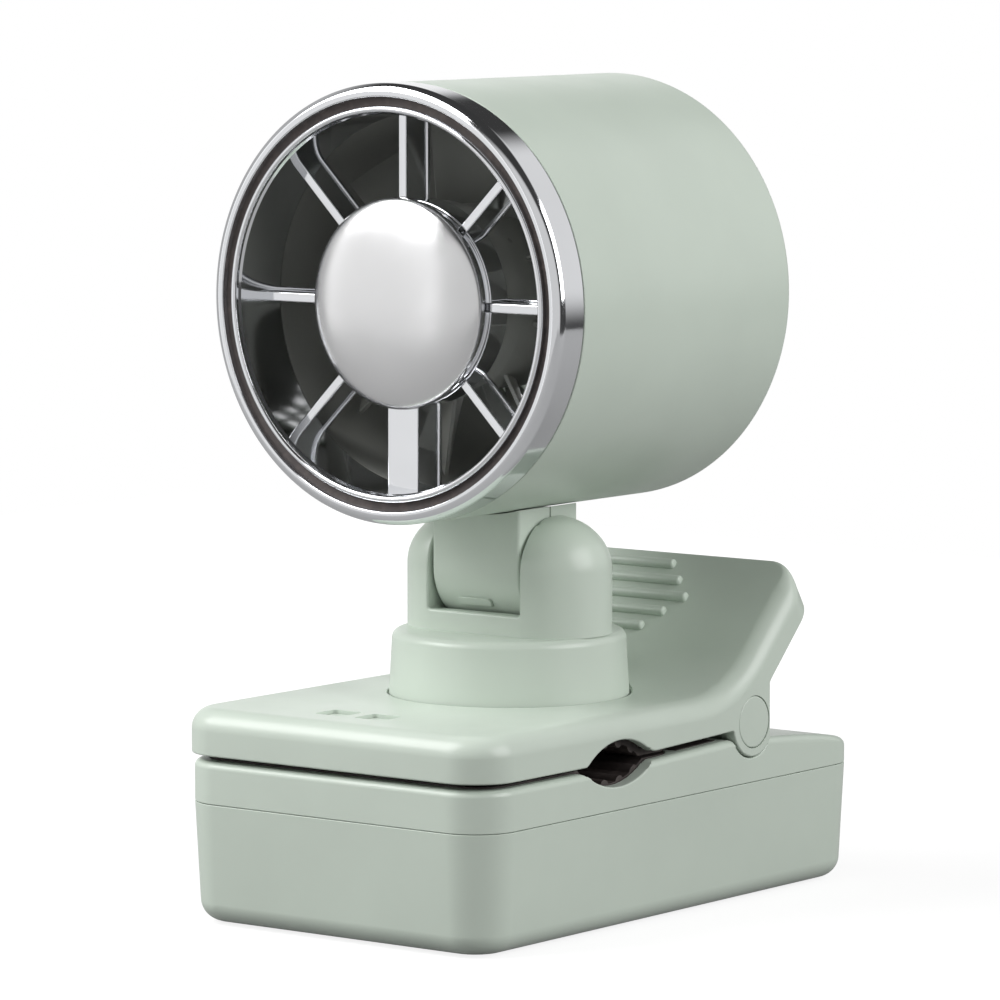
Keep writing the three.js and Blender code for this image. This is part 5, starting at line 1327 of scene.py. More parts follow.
    def cavity(self) -> Solid:
        """The hollow, open below and behind."""
        x = self.box.high.x - self.wall
        inward = Vector((HALF, -HALF)) * self.wall
        crest = self.slope_start + inward + SLOPE * (self.slope_length - 3.4)
        turn = arc(self.turn_y, self.top + self.turn_r, self.turn_r + self.wall, -90, -45, 12)
        tail = self.heel + SLOPE * (self.rear_length - 2 * self.wall)
        outline = [
            (self.box.low.y + self.wall, self.rim - 5),
            (self.back_y + 20, self.rim - 5),
            (self.back_y + 20, tail.y),
            (tail.x, tail.y),
            (crest.x, crest.y),
            *turn[::-1],
            (self.box.low.y + self.wall, self.top - self.wall),
        ]
        block = Solid.drawn(outline, Axis.X, -x, x)
        return block.within(self.plan(self.wall))

    def key_hole(self, node: str) -> Solid:
        """The hole in the jaw's top for a key or a window."""
        outline = NodeBox.of(node).plan(GAP - self.key_inset, 0.9, 6)
        return Solid.drawn(outline, Axis.Z, self.top - 6, self.top + 3)

    def build(self, maker: Maker) -> None:
        """Makes the pieces of the jaw."""
        x, z, top = self.box.high.x, self.pin.centre.z, self.top
        seat_r = NodeBox.of("turntable").size.x / 2 + self.well_gap
        boss_r = seat_r + self.wall
        low, high = top - 3, top - 0.5
        boss = Solid.turned([(0, low), (boss_r, low), (boss_r, high), (0, high)], Axis.Z, ORIGIN)
        floor, lip = top - self.well_depth, 0.3
        well = [(0, floor), *arc(seat_r - 0.2, floor + 0.2, 0.2, -90, 0, 3), (seat_r, top - lip)]
        well += [*arc(seat_r + lip, top - lip, lip, 180, 90, 4), (seat_r + lip, top + 4), (0, top + 4)]
        body = self.shell().cut(self.cavity()).joined(boss).cut(
            Solid.turned(well, Axis.Z, ORIGIN, 160),
            self.key_hole("power_button"),
            self.key_hole("indicator_window"),
        )
        for side in (-1, 1):
            x0, x1 = sorted((side * (x - self.cap_thick - GAP), side * (x + 1)))
            body = body.joined(self.lug(side, 0.5, self.wall - 0.6))
            body = body.cut(Solid.drawn(circle(HINGE_Y, z, self.cap_r + 0.14, 72), Axis.X, x0, x1))
        maker.add("jaw_shell", body, "jaw", "sage_plastic", ["upper_jaw"])
        self.build_trim(maker)

    def build_trim(self, maker: Maker) -> None:
        """Grip ribs, pin caps, pads, keys, rear cover and screws."""
        start = self.slope_start + Vector((-HALF, HALF)) * self.rib_lift
        along = (self.rib_first + i * self.rib_pitch for i in range(len(self.rib_reaches)))
        where = [Vector((0, *(start + SLOPE * length))) for length in along]
        source = linked("bead", self.bead(self.bead_reach).mesh.copy())
        ribs = maker.repeated(
            maker.beads,
            "grip_ribs",
            spots(where, reach=self.rib_reaches),
            "sage_plastic",
            Shape=source,
            Pitch=math.radians(45),
            Own_Reach=self.bead_reach,
        )
        discard(source)
        maker.add("grip_ribs", ribs, "jaw", "sage_plastic")
        x, z = self.box.high.x, self.pin.centre.z
        for name, side in (("left", -1), ("right", 1)):
            profile = [(0, x - self.cap_thick), (self.cap_r, x - self.cap_thick)]
            profile += [*arc(self.cap_r - 0.35, x - 0.35, 0.35, 0, 90, 5), (0, x)]
            flipped = [(r, side * along) for r, along in profile]
            cap = Solid.turned(flipped, Axis.X, Vector((0, HINGE_Y, z)), 72)
            maker.add(f"pin_cap_{name}_cover", cap, "jaw", "sage_plastic", [f"pin_cap_{name}"])
        self.build_pad(maker)
        self.build_keys(maker)
        self.build_rear(maker)

    def bead(self, reach: float) -> Solid:
        """A round-ended bead along X."""
        r = self.rib_r
        end = r * 0.55
        profile = [(-reach, 0), *arc(-reach + end, r - end, end, 180, 90, 6)]
        profile += [*arc(reach - end, r - end, end, 90, 0, 6), (reach, 0)]
        return Solid.turned([(v, u) for u, v in profile], Axis.X, Vector(), 28)

    def build_pad(self, maker: Maker) -> None:
        """The ribbed pad in the jaw's underside."""
        pad = NodeBox.of("upper_pad")
        centre = self.rim + self.notch_depth - self.notch_r
        face = (self.rim - PAD_PROUD, self.notch_r - 1)
        back = (self.rim - PAD_PROUD + PAD_THICK, self.notch_r - 1 + PAD_THICK)
        outline = pad_outline(pad.low.y, pad.high.y, self.notch_y, centre, face, back, 1, True)
        under = self.rim - 5
        block = Solid.drawn(outline, Axis.X, pad.low.x, pad.high.x)
        block = block.within(Solid.drawn(pad.plan(0, self.pad_r), Axis.Z, under, self.top))
        screws = [NodeBox.of(f"jaw_screw_front_{side}").centre for side in ("left", "right")]
        holes = [Solid.drawn(circle(spot.x, spot.y, 2.6, 32), Axis.Z, under, self.top) for spot in screws]
        maker.add("notch_pad_upper", block.cut(*holes), "jaw", "rubber", ["upper_pad"])

    def build_keys(self, maker: Maker) -> None:
        """The push button with its shallow dish, and the indicator with its pinhole light."""
        face = self.top - self.key_depth
        for name, node, body in (
            ("push_button", "power_button", "button"),
            ("indicator_lens", "indicator_window", "jaw"),
        ):
            box = NodeBox.of(node)
            cap = Solid.drawn(box.plan(-self.key_inset, 0.6, 6), Axis.Z, box.low.z + 0.4, face)
            cap = cap.rounded(lambda middle, *_: 0.15 if middle.z > face - 0.1 else 0.0, 3)
            if body == "jaw":
                spot = box.centre
                cap = cap.cut(Solid.drawn(circle(spot.x, spot.y, 0.6, 24), Axis.Z, face - 0.5, face + 1))
            cap = cap.beside(Solid.drawn(box.plan(0, 1.0, 6), Axis.Z, box.low.z, box.low.z + 0.5))
            maker.add(name, cap, body, "sage_plastic", [node])

    def build_rear(self, maker: Maker) -> None:
        """The plate that closes the lever from behind, and the screws."""
        x, z, heel, thick = self.box.high.x - self.wall - GAP, self.pin.centre.z, self.heel, self.plate
        low = z - 2.7
        tail = heel + SLOPE * (self.rear_length - 2 * self.wall - GAP)
        inner = tail + Vector((-HALF, HALF)) * thick
        outline = [
            (heel.x, low),
            *arc(heel.x + 3, heel.y - 1.24, 3, 180, 135, 6),
            tuple(tail),
            tuple(inner),
            (heel.x - thick, heel.y + thick * math.tan(math.pi / 8)),
            (heel.x - thick, low),
        ]
        cuts = []
        for side in (-1, 1):
            spans = (
                (z + 3.9, side * EAR_X - 2.3, side * EAR_X + 2.3),
                (z + 7.65, *sorted((side * (self.box.high.x - self.lug_thick - GAP), side * (x + 1)))),
            )
            cuts += [Solid.drawn(rectangle(33, 43, low - 1, high), Axis.X, x0, x1) for high, x0, x1 in spans]
        names = [f"lever_screw_{side}" for side in ("left", "right")]
        tilt = math.radians(45)
        where = []
        for name in names:
            spot = NodeBox.of(name).centre
            along = (spot.y - heel.x + spot.z - heel.y) / 2
            foot = Vector((spot.x, heel.x + along, heel.y + along))
            where.append(foot + Vector((0, -HALF, HALF)) * HEAD_RISE)
            hole = Solid.turned([(0, -3), (2.6, -3), (2.6, 1.2), (0, 1.2)], Axis.Z, ORIGIN, 40)
            cuts.append(hole.moved(Matrix.Translation(foot) @ Matrix.Rotation(tilt, 4, "X")))
        plate = Solid.drawn(outline, Axis.X, -x, x).cut(*cuts)
        maker.add("lever_rear_plate", plate, "jaw", "sage_plastic", ["lever_back"])
        screws = maker.placed("lever_screws", screw(self.lever_screw), "steel", where, [tilt] * 2)
        maker.add("lever_screws", screws, "jaw", "steel", names)
        maker.corner_screws("jaw", "jaw_screw")


# ------------------------------------------------------------------ turntable and yoke


@dataclass
class Turret:
    """What pans on the jaw: the turntable and the yoke with its two ears."""

    top_r: float = 24.6
    edge_r: float = 1.8
    wall: float = 2.2
    ear_r: float = 12.4
    slot_half: float = 11.9
    slot_r: float = 12.35
    floor_rise: float = 4.4
    ear_rise: float = 11.2
    skirt: float = 14.1
    box: NodeBox = box_of("turntable")
    yoke: NodeBox = box_of("yoke")
    axle: NodeBox = box_of("tilt_axle")

    def build(self, maker: Maker) -> None:
        """Makes the turntable, the yoke and the plug of the axle."""
        top, r, wall, edge = self.box.high.z, self.box.size.x / 2, self.wall, self.edge_r
        bottom, low = NodeBox.of("yoke").low.z - self.skirt, self.box.low.z
        profile = [(0, top - 2.5), (self.top_r - wall, top - 2.5), (r - wall, bottom), (r - 0.3, bottom)]
        profile += [(r, bottom + 0.3), *arc(self.top_r - edge, top - edge, edge, 2, 90, 10), (0, top)]
        cap = Solid.turned(profile, Axis.Z, ORIGIN, 160)
        post = Solid.turned([(0, low), (6, low), (6, top - 2), (0, top - 2)], Axis.Z, ORIGIN, 64)
        maker.add("turntable_cap", cap.joined(post), "turret", "sage_plastic", ["turntable"])
        maker.add("tilt_yoke", self.yoke_solid(), "turret", "sage_plastic", ["yoke"])
        plug = NodeBox.of("axle_plug")
        pr, x0, x1 = plug.size.z / 2, plug.low.x, plug.high.x
        shape = [(0, x1), (pr, x1), (pr, x0 + 0.3), *arc(pr - 0.3, x0 + 0.3, 0.3, 0, -90, 4), (0, x0)]
        cap = Solid.turned(shape, Axis.X, Vector((0, 0, self.axle.centre.z)), 48)
        maker.add("axle_plug_cap", cap, "turret", "sage_plastic", ["axle_plug"])

    def ring(self, r: float, z: float) -> list[Vector]:
        """A level ring round both ears, with round ends of a radius."""
        centre = self.yoke.high.x - self.ear_r
        right = [(centre + u, v) for u, v in arc(0, 0, r, -90, 90, 40)]
        return [Vector((x, y, z)) for x, y in right] + [Vector((-x, -y, z)) for x, y in right]

    def yoke_solid(self) -> Solid:
        """The yoke: one skin over both ears, with the neck's slot cut out of it."""
        low, tilt = self.yoke.low.z - GAP, self.axle.centre.z
        rings = [self.ring(self.ear_r, z) for z in (low, (low + tilt) / 2, tilt)]
        for sine, cosine in quarter(30, 88.5)[1:]:
            rings.append(self.ring(self.ear_r * cosine, tilt + self.ear_rise * sine))
        floor = low + self.floor_rise
        start = math.degrees(math.asin((tilt - floor) / self.slot_r))
        far = self.ear_r + 3
        round_floor = arc(0, tilt, self.slot_r, 180 + start, 360 - start, 40)
        outline = [(-far, tilt + far), (-far, floor), *round_floor, (far, floor), (far, tilt + far)]
        body = Solid.lofted(rings).cut(Solid.drawn(outline, Axis.X, -self.slot_half, self.slot_half))
        body = body.rounded(lambda middle, *_: 0.55 if middle.z > low + 1 else 0.0, 5)
        plug = NodeBox.of("axle_plug")
        x = self.yoke.high.x + 1
        hole = Solid.drawn(circle(0, tilt, plug.size.z / 2 + 0.15, 48), Axis.X, -x, plug.high.x + GAP)
        return body.cut(hole)


# ------------------------------------------------------------------ head


@dataclass
class Head:
    """The tilting head: neck, drum, chrome grille, dome, duct and rear vent."""

    wall: float = 2.0
    duct_wall: float = 1.4
    edge_r: float = 1.8
    rim_r: float = 2.1
    rim_width: float = 2.8
    groove_depth: float = 2.4
    bead_r: float = 0.68
    spoke_width: float = 2.0
    wide_width: float = 7.9
    spokes: int = 8
    spoke_front: float = -36.0
    spoke_depth: float = 7.6
    flange: float = 0.5
    barrel_r: float = 20.5
    barrel_wall: float = 1.5
    dome_bulge: float = 4.6
    vent_hub_r: float = 11.0
    vent_rim_r: float = 37.1
    vent_ribs: int = 18
    vent_bands: tuple[Point2, ...] = ((14.9, 16.1), (19.2, 20.4), (23.75, 25.25), (28.8, 30.0), (32.9, 34.1))
    neck_r: float = 11.7
    bar_middle: Point2 = (-1.4, -6.9)
    bar_size: Point2 = (8.6, 1.7)
    bar_proud: float = 0.55
    drum: NodeBox = box_of("drum_shell")
    grille: NodeBox = box_of("front_grille")
    duct: NodeBox = box_of("air_duct")
    dome: NodeBox = box_of("hub_dome")
    vent: NodeBox = box_of("rear_grille")

    @property
    def centre(self) -> Vector:
        """A point on the drum's axis."""
        return Vector((0, 0, self.drum.centre.z))

    @property
    def radius(self) -> float:
        """Outer radius of the drum."""
        return self.drum.size.x / 2

    @property
    def bore(self) -> float:
        """Inner radius of the duct and of the grille's sleeve."""
        return self.radius - SLEEVE_INSET

    def turned(self, profile: Outline, steps: int = 160) -> Solid:
        """Turns a profile of (radius, y) about the drum's axis."""
        return Solid.turned(profile, Axis.Y, self.centre, steps)

    def build(self, maker: Maker) -> None:
        """Makes the pieces of the head."""
        front, rear, r, edge = self.drum.low.y, self.drum.high.y, self.radius, self.edge_r
        profile = [(r - self.wall, front), (r - 0.25, front), *arc(r - 0.25, front + 0.25, 0.25, -90, 0, 4)]
        profile += [*arc(r - edge, rear - edge, edge, 0, 90, 8), (r - self.wall, rear)]
        maker.add("drum_case", self.turned(profile, 192), "head", "sage_plastic", ["drum_shell"])
        self.build_grille(maker)
        self.build_dome(maker)
        y0, y1 = self.duct.low.y, self.duct.high.y
        tube = self.turned(rectangle(self.bore, self.bore + self.duct_wall, y0, y1))
        maker.add("duct_tube", tube, "head", "inner_plastic", ["air_duct"])
        self.build_vent(maker)
        self.build_neck(maker)

    def bezel(self) -> Outline:
        """The chrome ring in section: a broad rounded rim, a deep groove, one bead and a sleeve."""
        r, front, rear = self.radius, self.grille.low.y, self.drum.low.y - GAP
        spigot = r - self.wall - GAP
        web = front + 4.2
        rim_r, lip_r = self.rim_r, 0.35
        wall = r - self.rim_width
        groove = front + self.groove_depth
        bead = self.bead_r
        centre = self.bore + lip_r + bead
        skin, end, step = 1.2, -28.3, rear + 3.9
        sleeve, tongue = self.bore + skin, spigot - skin
        profile = [(self.bore, end), (sleeve, end), (sleeve, web), (tongue, web), (tongue, step)]
        profile += [(spigot, step), (spigot, rear), (r - 0.2, rear), (r, rear - 0.2)]
        profile += arc(r - rim_r, front + rim_r, rim_r, 0, -90, 24)
        profile += arc(wall + lip_r, front + lip_r, lip_r, -90, -170, 6)
        profile += [(wall - 0.35, groove - 0.3), *arc(wall - 0.7, groove - 0.35, 0.35, 0, 90, 4)]
        profile += [(centre + bead, groove), (centre + bead, front + bead + 0.15)]
        profile += arc(centre, front + bead + 0.15, bead, -5, -175, 14)
        profile += [(centre - bead, front + bead + 0.6), (self.bore, front + bead + 1.1)]
        return profile

    def spoke(self, width: float) -> Solid:
        """One spoke up from the barrel to the sleeve, with softened edges."""
        low, high = self.barrel_r - 0.8, self.bore + 0.4
        half, flange = width / 2, width / 2 + self.flange
        y0, y1, over = self.spoke_front, self.spoke_front + self.spoke_depth, 0.01
        bar = Solid.drawn(rectangle(-half, half, low, high), Axis.Y, y0, y1)
        foot = rectangle(-flange, flange, low - over, high + over)
        bar = bar.joined(Solid.drawn(foot, Axis.Y, y1 - 1.1, y1 + over))
        return bar.rounded(lambda middle, *_: 0.3 if low + 1 < middle.z < high - 1 else 0.0, 4)

    def build_grille(self, maker: Maker) -> None:
        """The bezel, a dark ring of painted shade in its groove, the barrel and the spokes."""
        maker.add("chrome_bezel", self.turned(self.bezel(), 192), "head", "chrome", ["front_grille"])
        front, floor = self.grille.low.y, self.grille.low.y + self.groove_depth + 0.1
        inner, outer = self.bore + 0.3 + 2 * self.bead_r, self.radius - self.rim_width - 0.1
        # A black-brown rubber ring laid in the bezel's groove: painted shade of the deep groove, and its
        # brown tone is a painted reflection.
        shade_ring = [(inner, front + 1.5), (outer, front + 1.2), (outer, floor), (inner, floor)]
        maker.add("groove_seal", self.turned(shade_ring, 192), "head", "rubber")
        r, inside = self.barrel_r, self.barrel_r - self.barrel_wall
        y0, y1, end, web = -36.9, -28.2, -22.0, -32.5
        step = r + 0.8
        profile = [(inside, y0), (r, y0), (r, -34.2), (r + 0.1, -34.1)]
        profile += [*arc(step - 0.35, -33.75, 0.35, -90, 0, 5), *arc(step - 0.4, y1 - 0.4, 0.4, 0, 90, 5)]
        profile += [(r - 0.6, y1), (r - 0.6, web), (3.2, web), (3.2, -34), (inside, -34)]
        maker.add("grille_barrel", self.turned(profile, 128), "head", "chrome")
        profile = [(inside, web + 0.1), (r - 0.7, web + 0.1), (r - 0.7, y1 + 0.1), (r, y1 + 0.1)]
        profile += [(r, end - 0.4), (r - 0.4, end), (inside, end)]
        maker.add("grille_collar", self.turned(profile, 128), "head", "blade_plastic")
        narrow = maker.repeated(
            maker.ring,
            "grille_spokes",
            self.spoke(self.spoke_width),
            "chrome",
            Count=self.spokes,
            Left_Out=self.spokes // 2,
            Centre=tuple(self.centre),
        )
        maker.add("grille_spokes", narrow, "head", "chrome")
        wide = self.spoke(self.wide_width).moved(Matrix.Rotation(math.pi, 4, "Y"))
        maker.add("grille_wide_spoke", wide.moved(Matrix.Translation(self.centre)), "head", "chrome")

    def build_dome(self, maker: Maker) -> None:
        """The satin dome over the barrel."""
        r = self.dome.size.x / 2
        rim = self.dome.low.y + self.dome_bulge
        profile: Outline = [(0, self.dome.low.y)]
        for sine, cosine in quarter(32)[1:]:
            profile.append((r * sine, rim - self.dome_bulge * cosine**0.9))
        outer, inner, end, under = 18.7, 17.5, -34.3, rim - 0.9
        profile += [(r, rim + 0.05), (outer, rim + 0.05), (outer, end), (inner, end)]
        profile += [(inner, under), (0, under)]
        maker.add("satin_dome", self.turned(profile, 160), "head", "satin_aluminium", ["hub_dome"])

    def build_vent(self, maker: Maker) -> None:
        """The rear intake: rings and ribs."""
        y0, y1, soft = self.vent.low.y, self.vent.high.y, 0.3

        def band(inner: float, out: float) -> Outline:
            """A ring in section with softened rear edges."""
            near = y1 - soft
            return [(inner, y0), (out, y0), (out, near), (out - soft, y1), (inner + soft, y1), (inner, near)]

        r, edge = self.vent_hub_r, 0.6
        hub = [(0, y0), (r, y0), (r, y1 - edge), *arc(r - edge, y1 - edge, edge, 0, 90, 5), (0, y1)]
        bands = (*self.vent_bands, (self.vent_rim_r, self.vent.size.x / 2))
        rings = self.turned(hub).beside(*(self.turned(band(*pair)) for pair in bands))
        maker.add("vent_rings", rings, "head", "sage_plastic", ["rear_grille"])
        outline = rectangle(-0.75, 0.75, r - 0.4, self.vent_rim_r + 0.4)
        rib = Solid.drawn(outline, Axis.Y, y0 + 0.2, y1 - 0.2)
        rib = rib.rounded(lambda middle, *_: soft if middle.y > y1 - soft and abs(middle.x) > 0.5 else 0.0, 3)
        turns = {"Count": self.vent_ribs, "Left_Out": -1, "Centre": tuple(self.centre)}
        ribs = maker.repeated(maker.ring, "vent_ribs", rib, "sage_plastic", **turns)
        maker.add("vent_ribs", ribs, "head", "sage_plastic")

    def build_neck(self, maker: Maker) -> None:
        """The two halves of the neck and the raised bar on the front one."""
        axle = NodeBox.of("tilt_axle").centre.z
        front, rear = NodeBox.of("neck_front"), NodeBox.of("neck_rear")
        x, r, rear_y = front.high.x, self.neck_r, rear.high.y
        swing = math.degrees(math.asin(rear_y / r))
        top = self.centre.z - math.sqrt(self.radius**2 - x**2) + 1
        outline = [(-r, top), *arc(0, axle, r, 180, 270 + swing, 36), (rear_y, top)]
        drum = Solid.drawn(circle(0, self.centre.z, self.radius + GAP, 192), Axis.Y, -60, 60)
        bush = Solid.drawn(circle(0, axle, 4.7, 48), Axis.X, -x - 1, x + 1)
        for node, y0, y1, seam in (
            ("neck_front", -r - 1, front.high.y, front.high.y),
            ("neck_rear", rear.low.y, rear_y + 1, rear.low.y),
        ):
            slab = Solid.drawn(rectangle(-x - 1, x + 1, axle - r - 1, top + 2), Axis.Y, y0, y1)
            half = Solid.drawn(outline, Axis.X, -x, x).within(slab)

            def radius(middle: Vector, one: Vector, two: Vector) -> float:
                """Soft outer edges, crisp ones at the seam."""
                if middle.z > top - 0.1:
                    return 0.0
                return 0.2 if abs(middle.y - seam) < 0.05 else 0.8

            half = half.rounded(radius, 5).cut(drum, bush)
            maker.add(f"{node}_half", half, "head", "sage_plastic", [node])
        bar_x, half_bar = self.bar_middle[0], self.bar_size[0] / 2
        low = axle + self.bar_middle[1] - self.bar_size[1] / 2
        bar = rectangle(bar_x - half_bar, bar_x + half_bar, low, low + self.bar_size[1], 0.6, 5)
        outer = r + self.bar_proud
        band = [(r - 1, -x), (outer, -x), (outer, x), (r - 1, x)]
        curve = Solid.turned(band, Axis.X, Vector((0, 0, axle)), 256)
        shape = Solid.drawn(bar, Axis.Y, -r - 1, 0).within(curve)
        maker.add("neck_bar", shape.rounded(lambda middle, *_: 0.15, 3), "head", "sage_plastic")


# ------------------------------------------------------------------ fan wheel


@dataclass
class FanWheel:
    """The turning hub with its blades."""

    blades: int = 9
    hub_r: float = 19.4
    root_r: float = 18.9
    tip_gap: float = 1.3
    thick: float = 1.3
    mid_y: float = -9.5
    root_chord: float = 19.0
    tip_chord: float = 21.0
    root_pitch: float = math.radians(52)
    tip_pitch: float = math.radians(36)
    camber: float = 1.6
    drum: NodeBox = box_of("drum_shell")

    def blade(self) -> Solid:
        """One twisted, cambered blade with a thin leading and trailing edge."""
        tip = self.drum.size.x / 2 - SLEEVE_INSET - self.tip_gap
        rings = []
        span, across = 12, 16
        for k in range(span + 1):
            u = k / span
            r = self.root_r + (tip - self.root_r) * u
            chord = self.root_chord + (self.tip_chord - self.root_chord) * u
            pitch = self.root_pitch + (self.tip_pitch - self.root_pitch) * u
            upper = [self.on_blade(r, chord, pitch, i / across - 0.5, 1) for i in range(across + 1)]
            lower = [self.on_blade(r, chord, pitch, i / across - 0.5, -1) for i in range(across, -1, -1)]
            rings.append([*upper, *lower])
        return Solid.lofted(rings)

    def on_blade(self, r: float, chord: float, pitch: float, t: float, face: int) -> Vector:
        """A point on a blade at a radius, a share t of its chord from the middle, on one face."""
        thick = face * self.thick / 2 * (0.55 + 0.45 * math.sqrt(max(0.0, 1 - (2 * t) ** 2)))
        along, across = chord * t, self.camber * (1 - 4 * t * t) + thick
        y = self.mid_y + along * math.sin(pitch) + across * math.cos(pitch)
        a = (along * math.cos(pitch) - across * math.sin(pitch)) / r
        return Vector((r * math.sin(a), y, r * math.cos(a)))

    def build(self, maker: Maker) -> None:
        """Makes the hub and the blades."""
        centre = Vector((0, 0, self.drum.centre.z))
        y0, y1, r, wall = -21.4, 1.5, self.hub_r, 1.5
        inside, floor = r - wall, y1 - wall
        profile = [(1.5, -4), (3.5, -4), (3.5, floor), (inside, floor), (inside, y0), (r - 0.3, y0)]
        profile += [(r, y0 + 0.3), *arc(r - 2, y1 - 2, 2, 0, 90, 8), (1.5, y1)]
        hub = Solid.turned(profile, Axis.Y, centre, 128)
        maker.add("wheel_hub", hub, "fan_wheel", "blade_plastic", ["rotor"])
        turns = {"Count": self.blades, "Left_Out": -1, "Centre": tuple(centre)}
        blades = maker.repeated(maker.ring, "wheel_blades", self.blade(), "blade_plastic", **turns)
        maker.add("wheel_blades", blades, "fan_wheel", "blade_plastic", crease=50.0)


# ------------------------------------------------------------------ inner parts


def dress_inner_nodes(finishes: Finishes) -> None:
    """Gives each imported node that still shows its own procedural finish."""
    slots = {row["node"]: row["material_slot"] for row in frame["record"]["subparts"]}
    for name, obj in frame["nodes"].items():
        if obj.hide_render:
            continue
        finishes.dress(obj, slots[name])
        LOG.info("%s keeps its packed solid", name)


# ------------------------------------------------------------------ studio


class Seen(Enum):
    """What a lamp does: light matt surfaces, be mirrored in gloss, or both."""

    AS_LIGHT = "light"
    IN_GLOSS = "gloss"
    BOTH = "both"


@dataclass(frozen=True)
class Lamp:
    """A soft box that looks at the fan: a light, a shape for gloss to mirror, or both."""

    name: str
    azimuth: float
    elevation: float
    distance: float
    width: float
    height: float
    radiance: float
    seen: Seen = Seen.AS_LIGHT

    def build(self, target: Vector) -> None:
        """Puts the lamp in the scene."""
        data = bpy.data.lights.new(self.name, "AREA")
        data.shape = "RECTANGLE"
        data.size, data.size_y = self.width, self.height
        data.energy = self.radiance * math.pi * self.width * self.height
        lamp = linked(self.name, data)
        lamp.visible_camera = False
        lamp.visible_glossy = self.seen is not Seen.AS_LIGHT
        lamp.visible_diffuse = self.seen is not Seen.IN_GLOSS
        away = heading(self.azimuth, self.elevation)
        lamp.location = target + away * self.distance
        lamp.rotation_euler = away.to_track_quat("Z", "Y").to_euler()


@dataclass(frozen=True)
class Lobe:
    """A bright patch of the room that gloss mirrors: where it is and how wide."""

    azimuth: float
    elevation: float
    inner: float
    outer: float
    strength: float


class Rays:
    """The kinds of ray that meet a surface of the stage, and sums on them."""

    def __init__(self, tree: bpy.types.NodeTree) -> None:
        """Reads the light path: the camera's rays, and those seen in gloss or through clear parts."""
        self.tree = tree
        path = tree.nodes.new("ShaderNodeLightPath")
        self.camera = path.outputs["Is Camera Ray"]
        self.diffuse = path.outputs["Is Diffuse Ray"]
        gloss, clear = path.outputs["Is Glossy Ray"], path.outputs["Is Transmission Ray"]
        self.mirrored = self.math("MAXIMUM", gloss, clear)

    def math(self, operation: str, *values: Fed) -> bpy.types.NodeSocket:
        """One Math node on sockets or numbers."""
        inputs = {f"_{i}": value for i, value in enumerate(values)}
        return add_node(self.tree, "ShaderNodeMath", {"operation": operation}, **inputs).outputs[0]


def heading(azimuth: float, elevation: float) -> Vector:
    """Unit vector from the fan towards a viewer; azimuth 0 stands in front, at -Y."""
    a, e = math.radians(azimuth), math.radians(elevation)
    return Vector((math.sin(a) * math.cos(e), -math.cos(a) * math.cos(e), math.sin(e)))


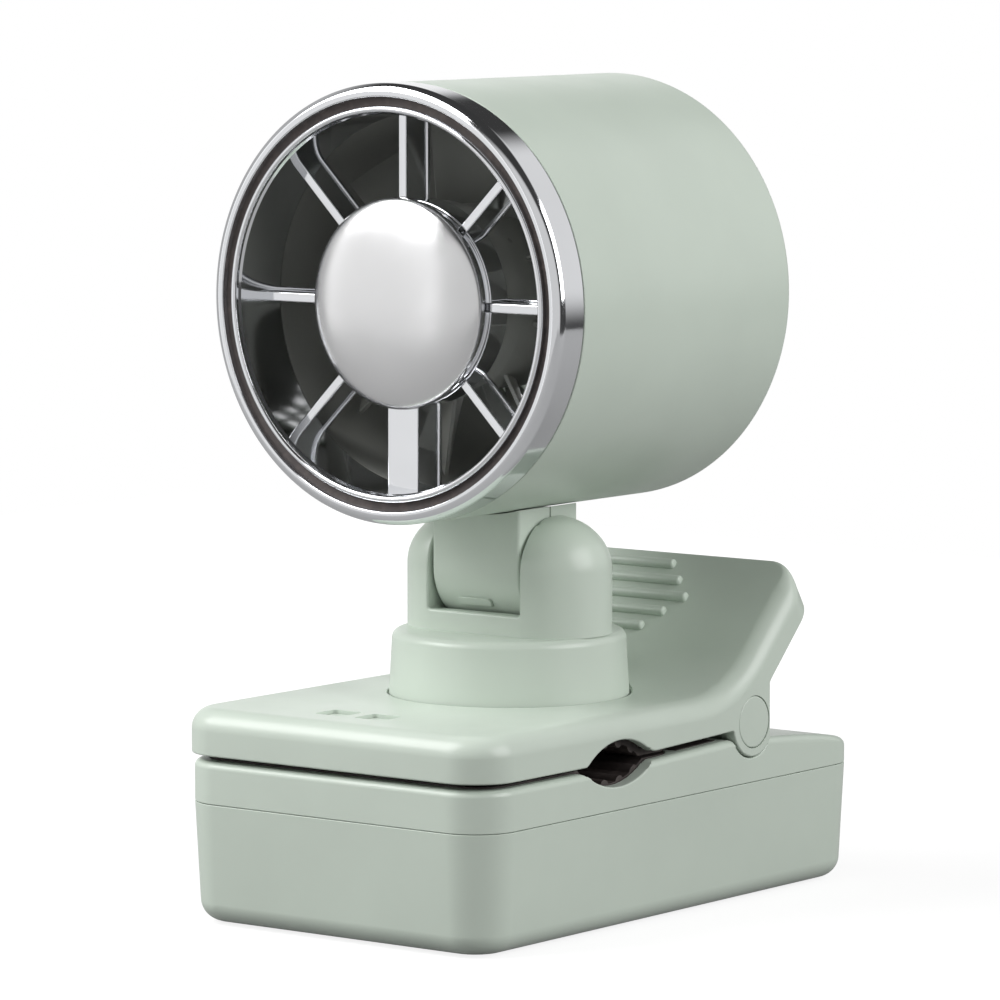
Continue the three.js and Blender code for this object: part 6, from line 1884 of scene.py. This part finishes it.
@dataclass(frozen=True)
class Studio:
    """Floor, world, lamps and camera."""

    azimuth: float = 37.29
    elevation: float = 5.96
    distance: float = 1.2415
    aim: Point3 = (-0.0009, -0.002, 0.0854)
    lens: float = 213.64
    fill: float = 0.18
    room: float = 0.05
    table_gloss: float = 0.25
    floor_tones: Point2 = (0.1552, 0.1648)
    near: float = 0.12
    near_white: float = 0.84
    table: float = 0.6
    lobes: tuple[Lobe, ...] = (
        Lobe(217, 3, 13, 26, 1.0),
        Lobe(-98, 2, 30, 48, 0.5),
        Lobe(20, -4, 36, 52, 0.75),
        Lobe(148, 27, 24, 36, 0.85),
    )
    lamps: tuple[Lamp, ...] = (
        Lamp("KeyLight", -42, 42, 1.0, 0.7, 0.7, 6.9, Seen.BOTH),
        Lamp("FrontLight", -22, 6, 1.1, 0.6, 0.6, 2.1),
        Lamp("SideLight", 102, 24, 1.1, 0.8, 0.8, 4.6, Seen.BOTH),
        Lamp("KeyBox", -42, 12, 1.2, 1.0, 1.1, 0.9, Seen.IN_GLOSS),
    )

    def build(self) -> None:
        """Sets the stage, the light and the view."""
        self.build_floor()
        self.build_world()
        for lamp in self.lamps:
            lamp.build(Vector(self.aim))
        self.build_camera()
        bpy.context.scene.view_settings.view_transform = "Standard"

    def build_floor(self) -> None:
        """A table that reads white to the camera and keeps a soft shadow of the fan."""
        mesh = bpy.data.meshes.new("Floor")
        half = self.table
        corners = [(-half, -half, 0), (half, -half, 0), (half, half, 0), (-half, half, 0)]
        mesh.from_pydata(corners, [], [(0, 1, 2, 3)])
        floor = linked("Floor", mesh)
        shader = Shader("FloorWhite", Roughness=0.9)
        shader.feed(Base_Color=shader.span(shader.noise(14.0, 4.0), *self.floor_tones))
        away = shader.node("ShaderNodeVectorMath", {"operation": "LENGTH"}, _0=shader.place)
        far = shader.node(
            "ShaderNodeMapRange",
            SMOOTH,
            From_Min=self.near,
            From_Max=half,
            To_Min=self.near_white,
            To_Max=1.0,
            Value=away.outputs["Value"],
        )
        rays = Rays(shader.tree)
        bright = rays.math("MULTIPLY_ADD", rays.mirrored, self.table_gloss - 1.0, 1.0)
        strength = rays.math("MULTIPLY", far.outputs["Result"], bright)
        glow = shader.node("ShaderNodeEmission", Strength=strength)
        shade = shader.node("ShaderNodeBsdfDiffuse", Color=(0.24, 0.24, 0.24, 1))
        white = shader.node("ShaderNodeAddShader", _0=glow.outputs[0], _1=shade.outputs[0])
        seen = rays.math("ADD", rays.camera, rays.mirrored)
        kind, matt = "ShaderNodeMixShader", shader.bsdf.outputs[0]
        mix = shader.node(kind, Fac=seen, _1=matt, _2=white.outputs[0])
        feed(shader.tree, shader.tree.nodes["Material Output"], {"Surface": mix.outputs[0]})
        mesh.materials.append(shader.material)

    def build_world(self) -> None:
        """A room with a white backdrop behind the fan, of which the camera sees only white."""
        world = bpy.data.worlds.new("Studio")
        bpy.context.scene.world = world
        world.use_nodes = True
        tree = world.node_tree
        background = tree.nodes["Background"]
        background.inputs["Color"].default_value = (1, 1, 1, 1)
        place = tree.nodes.new("ShaderNodeTexCoord")
        rays = Rays(tree)
        patches = [self.patch(tree, place.outputs["Generated"], lobe) for lobe in self.lobes]
        room = patches[0]
        for patch in patches[1:]:
            room = rays.math("MAXIMUM", room, patch)
        mirrored = rays.math("MULTIPLY", rays.mirrored, room)
        lit = rays.math("MULTIPLY_ADD", rays.diffuse, self.fill, mirrored)
        tree.links.new(rays.math("ADD", lit, rays.camera), background.inputs["Strength"])

    def patch(
        self, tree: bpy.types.NodeTree, place: bpy.types.NodeSocket, lobe: Lobe
    ) -> bpy.types.NodeSocket:
        """The strength of one lobe by the direction that a ray leaves in."""
        towards = heading(lobe.azimuth, lobe.elevation)
        facing = add_node(tree, "ShaderNodeVectorMath", {"operation": "DOT_PRODUCT"}, _0=place, _1=towards)
        fade = add_node(
            tree,
            "ShaderNodeMapRange",
            SMOOTH,
            From_Min=math.cos(math.radians(lobe.outer)),
            From_Max=math.cos(math.radians(lobe.inner)),
            To_Min=self.room,
            To_Max=lobe.strength,
            Value=facing.outputs["Value"],
        )
        return fade.outputs["Result"]

    def build_camera(self) -> None:
        """The camera at the photograph's angle."""
        data = bpy.data.cameras.new("Camera")
        data.lens = self.lens
        data.sensor_width = 36.0
        data.clip_start, data.clip_end = 0.05, 50.0
        camera = linked("Camera", data)
        back = heading(self.azimuth, self.elevation)
        camera.location = Vector(self.aim) + back * self.distance
        camera.rotation_euler = back.to_track_quat("Z", "Y").to_euler()
        bpy.context.scene.camera = camera


def main() -> None:
    """Builds the fan and its studio in order."""
    logging.basicConfig(level=logging.INFO, format="%(name)s: %(message)s")
    Studio().build()
    finishes = Finishes()
    maker = Maker(finishes)
    for part in (Base(), Jaw(), Turret(), Head(), FanWheel()):
        part.build(maker)
    dress_inner_nodes(finishes)


if __name__ == "__main__":
    main()
